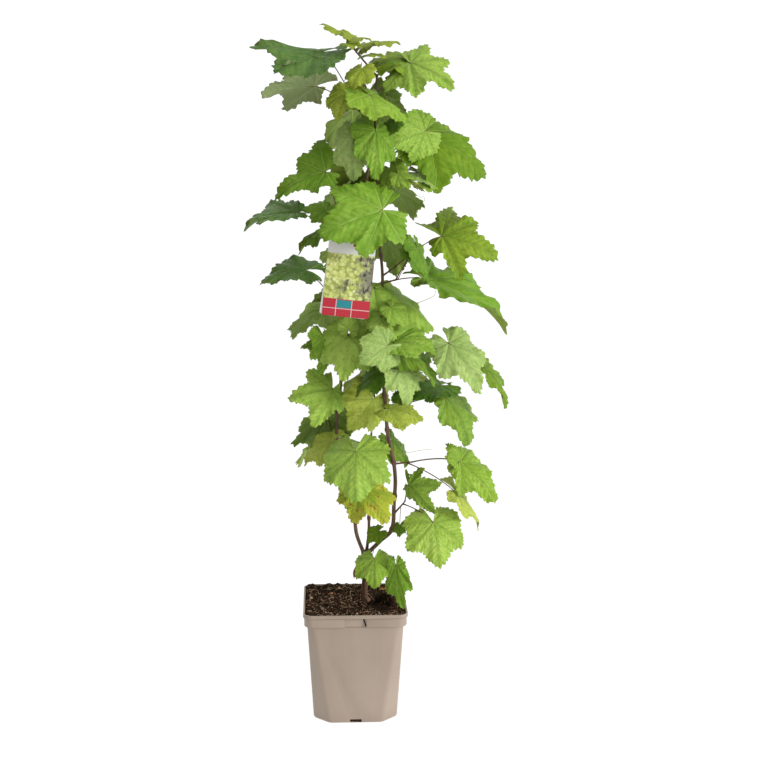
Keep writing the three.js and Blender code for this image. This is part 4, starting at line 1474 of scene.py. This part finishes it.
# Leaf colours: blade, its lighter patches, its veins and its underside. The kinds differ partly as real
# leaves do and partly as painted shade: the dark and deep kinds go to leaves that lie in shade
LEAF_COLOURS = {
    "deep": ((72, 112, 40), (110, 146, 72), (130, 160, 90), (108, 138, 74)),
    "dark": ((94, 140, 30), (140, 173, 62), (156, 181, 90), (126, 153, 68)),
    "fresh": ((114, 158, 36), (164, 198, 82), (180, 206, 106), (142, 168, 78)),
    "bright": ((138, 177, 46), (182, 213, 98), (194, 220, 118), (152, 178, 88)),
    "pale": ((146, 178, 84), (188, 212, 130), (200, 220, 148), (160, 182, 110)),
    "lime": ((155, 177, 48), (198, 213, 94), (208, 220, 118), (164, 178, 84)),
    "olive": ((104, 142, 18), (148, 176, 50), (162, 180, 78), (138, 158, 70)),
    "grey": ((114, 138, 74), (144, 162, 98), (168, 182, 122), (138, 154, 104)),
    "turning": ((170, 196, 58), (204, 218, 90), (216, 220, 114), (184, 190, 98)),
    "dry": ((150, 84, 52), (182, 116, 74), (120, 66, 44), (140, 84, 56)),
}
TURNING_COLOURS = ((212, 204, 70), (172, 108, 48))


def add_stem(stalks, root, tip):
    line = np.array([root + (tip - root) * t for t in np.linspace(0, 1, 8)])
    radii = np.linspace(STEM_RADIUS, 0.6 * STEM_RADIUS, 8)
    stalks.add(*tube_shape(line, radii, STEM_SIDES), blush=0.8)


def add_petiole(stalks, start, blade):
    points = petiole_points(start, blade)
    slim = PETIOLE_RADIUS * (0.6 if blade.small else 1)
    radii = slim * np.concatenate([[1.7, 1.25], np.linspace(1, 0.9, 12), [1.0, 0.8, 0.3]])
    blush = np.repeat(np.linspace(0.95, 0.45, len(points)), STALK_SIDES)
    stalks.add(*tube_shape(points, radii, STALK_SIDES), blush=blush)


def make_foliage():
    finishes = {}
    for kind, colours in LEAF_COLOURS.items():
        turning = TURNING_COLOURS if kind == "turning" else None
        finishes[kind] = leaf_finish(f"leaf_{kind}", *colours, turning)
    heaps = {kind: LeafHeap() for kind in finishes}
    holders = {kind: set() for kind in finishes}
    stalks = Heap()
    seed = 1
    masses = {**MASSES, **back_masses()}
    for name, (path, height, heading, rise, reach, leaves) in masses.items():
        root = point_at_height(path, height)
        tip = root + direction(heading, rise) * reach
        add_stem(stalks, root, tip)
        for i, blade in enumerate(leaves + SPRIGS.get(name, [])):
            start = tip + (root - tip) * min(STALK_STEP * i / len(leaves), LOWEST_STALK)
            add_petiole(stalks, start, blade)
            heaps[blade.kind].grow(blade, seed)
            holders[blade.kind].add(f"foliage_{name}")
            seed += 1
    for kind, heap in heaps.items():
        piece = heap.piece(f"leaves_{kind}", finishes[kind])
        settle(piece, sorted(holders[kind]))
    piece = stalks.mesh("stalks", stalk_finish())
    settle(piece, [f"foliage_{name}" for name in masses])


# Tendrils: start, heading, rise, length, how far each sags, and the turns of its curled end
TENDRILS = (
    ((88, -10, 917), -10, -20, 48, 10, 1.5),
    ((108, -5, 725), -20, 20, 52, -6, 0.5),
    ((72, 8, 458), 0, 12, 84, 6, 0.2),
    ((36, 8, 1060), 150, 60, 58, -4, 0.4),
    ((38, 8, 1068), 120, 72, 40, 4, 0.8),
    ((40, 6, 915), 200, 10, 40, 8, 2.2),
    ((50, 6, 930), -30, 35, 40, 6, 2.5),
    ((-30, -4, 800), 190, -10, 90, 26, 0.5),
)


def tendril_points(start, heading, rise, length, sag, turns):
    """A wavy line that sags and ends in a coil"""
    way = direction(heading, rise)
    side = np.cross(way, (0, 0, 1))
    side /= np.linalg.norm(side)
    up = np.cross(side, way)
    points = []
    for k in range(TENDRIL_STEPS):
        t = k / (TENDRIL_STEPS - 1)
        coil = max(0, (t - COIL_START) / 0.45)
        turn = coil * turns * 2 * math.pi
        wide = COIL_RADIUS * math.sqrt(coil) * (1 - 0.35 * coil)
        point = np.array(start, float) + way * length * (t - 0.25 * coil * coil)
        point = point + side * wide * math.sin(turn)
        point = point + up * (wide * (1 - math.cos(turn)) - sag * t * t)
        points.append(point + side * 2 * math.sin(t * 7))
    return points


def make_tendrils():
    heap = Heap()
    radii = np.linspace(1.2, 0.5, TENDRIL_STEPS) * TENDRIL_RADIUS
    for tendril in TENDRILS:
        heap.add(*tube_shape(tendril_points(*tendril), radii, TENDRIL_SIDES))
    settle(heap.mesh("tendrils", tendril_finish()))


# Loose bits on the soil


def lump_shape(random, centre, size):
    """An uneven lump of twenty faces"""
    ball = bmesh.new()
    bmesh.ops.create_icosphere(ball, subdivisions=1, radius=1)
    points = np.array([v.co[:] for v in ball.verts])
    faces = [[v.index for v in f.verts] for f in ball.faces]
    ball.free()
    points *= 1 + (np.array([random() for _ in points])[:, None] - 0.5) * 1.1
    squash = np.array([1, 0.35 + 0.7 * random(), 0.3 + 0.4 * random()])
    turn = Matrix.Rotation(random() * 6.28, 3, "Z") @ Matrix.Rotation(random() * 1.2, 3, "X")
    points = (points * squash * size) @ np.array(turn).T
    return points + centre, faces


def fibre_points(random, x, y):
    """A short bent fibre that lies on the soil"""
    length = FIBRE_LENGTH + FIBRE_SPREAD * random() ** 2
    way = direction(random() * 360, 12 * (random() - 0.3))
    side = np.cross(way, (0, 0, 1))
    bend = (random() - 0.5) * 0.5 * length
    points = []
    for t in np.linspace(-0.5, 0.5, len(FIBRE_RADII)):
        across, along, _ = np.array([x, y, 0]) + way * length * t + side * bend * (4 * t * t)
        points.append((across, along, soil_height(across, along) + 0.5 + 1.4 * random()))
    return points


def make_litter():
    random = seeded(LITTER_SEED)
    spot = lambda: [(random() - 0.5) * (SOIL_WIDTH - LITTER_MARGIN) for _ in range(2)]
    dark, pale, fibres, chips = Heap(), Heap(), Heap(), Heap()
    for k in range(LUMP_COUNT):
        x, y = spot()
        size = LUMP_SIZE + LUMP_SPREAD * random() ** 4
        if hollow_share(x, y) > 0.2:
            continue
        heap = dark if k % PALE_EVERY else pale
        heap.add(*lump_shape(random, (x, y, soil_height(x, y) + 0.3 * size), size))
    for _ in range(FIBRE_COUNT):
        fibres.add(*tube_shape(fibre_points(random, *spot()), FIBRE_RADII, FIBRE_SIDES))
    for x, y, size, heading in CHIPS:
        shape, faces = lump_shape(random, (0, 0, 0), size)
        turn = Matrix.Rotation(math.radians(heading), 3, "Z")
        flat = (shape * CHIP_SHAPE) @ np.array(turn).T
        chips.add(flat + (x, y, soil_height(x, y) + 0.2 * size), faces)
    for heap, name, finish in (
        (dark, "soil_crumbs_dark", chaff_finish("crumb_dark", (94, 64, 44), (16, 9, 5))),
        (pale, "soil_crumbs_pale", chaff_finish("crumb_pale", (214, 188, 158), (122, 90, 66))),
        (fibres, "soil_fibres", chaff_finish("fibre_straw", (242, 214, 180), (166, 126, 90))),
        (chips, "bark_chips", chaff_finish("chip_orange", (226, 160, 104), (150, 92, 56), 200)),
    ):
        settle(heap.mesh(name, finish, flat=heap is not fibres))


# Card


def bent_sheet(name, width, height, centre, lean):
    """A thin bent sheet with rounded corners, leaning a little"""
    sheet = add_block(name, width, CARD_THICKNESS, height, (0, 0, 0))
    enter("EDIT")
    upright = lambda edge: abs(edge.verts[0].co.y - edge.verts[1].co.y) > 0.5 * CARD_THICKNESS * MM
    choose(sheet, "edges", upright)
    bevel_chosen(CARD_CORNER, 4)
    columns, rows = CARD_STRIPS
    for k in range(1, rows):
        cut_across((0, 0, (k / rows - 0.5) * height * MM), (0, 0, 1))
    for k in range(1, columns):
        cut_across(((k / columns - 0.5) * width * MM, 0, 0), (1, 0, 0))
    enter("OBJECT")
    set_values(sheet.data, "face", [1.0 if v.co.y < 0 else 0.0 for v in sheet.data.vertices])
    turn = Matrix.Rotation(math.radians(lean), 4, "Y")
    for vert in sheet.data.vertices:
        x, z = vert.co.x / MM, vert.co.z / MM
        bend = CARD_BOW * (x / width * 2) ** 2 - CARD_CURL * math.cos(z / height * math.pi)
        vert.co.y += bend * MM
        vert.co = turn @ vert.co + Vector(centre) * MM
    smooth(sheet, 50)
    return sheet


def make_card():
    """A printed card with a plain white sheet behind it"""
    card = bent_sheet("card_sheet", CARD_WIDTH, CARD_HEIGHT, CARD_CENTRE, CARD_LEAN)
    card.data.materials.append(card_finish())
    settle(card, ["card"])
    place = [c + shift for c, shift in zip(CARD_CENTRE, BACK_SHEET_SHIFT)]
    back = bent_sheet(
        "card_back_sheet", CARD_WIDTH - 2, CARD_HEIGHT - 3, place, CARD_LEAN + BACK_SHEET_LEAN)
    back.data.materials.append(strap_finish())
    settle(back, ["card"])


def cut_across(point, normal):
    bpy.ops.mesh.select_all(action="SELECT")
    bpy.ops.mesh.bisect(plane_co=point, plane_no=normal)


def make_strap():
    """A thin strap from behind the card's top up to the left cane"""
    lean = math.radians(CARD_LEAN)
    up = CARD_HEIGHT / 2 - STRAP_INSET
    top = np.array(CARD_CENTRE) + (math.sin(lean) * up, STRAP_DEPTH, up)
    cane = point_at_height(LEFT_PATH, top[2] + STRAP_RISE)
    middle = top + (cane - top) * 0.35 + (0, 0, 10)
    path = [top + (0, 0, -6), top, middle, cane]
    points, _ = even_points(path, 2)
    heap = Heap()
    heap.add(*tube_shape(points, [STRAP_RADIUS] * len(points), 8))
    settle(heap.mesh("card_strap_band", strap_finish()), ["card_strap"])


make_stage()
make_pot()
make_soil()
make_litter()
make_limbs()
make_foliage()
make_tendrils()
make_card()
make_strap()
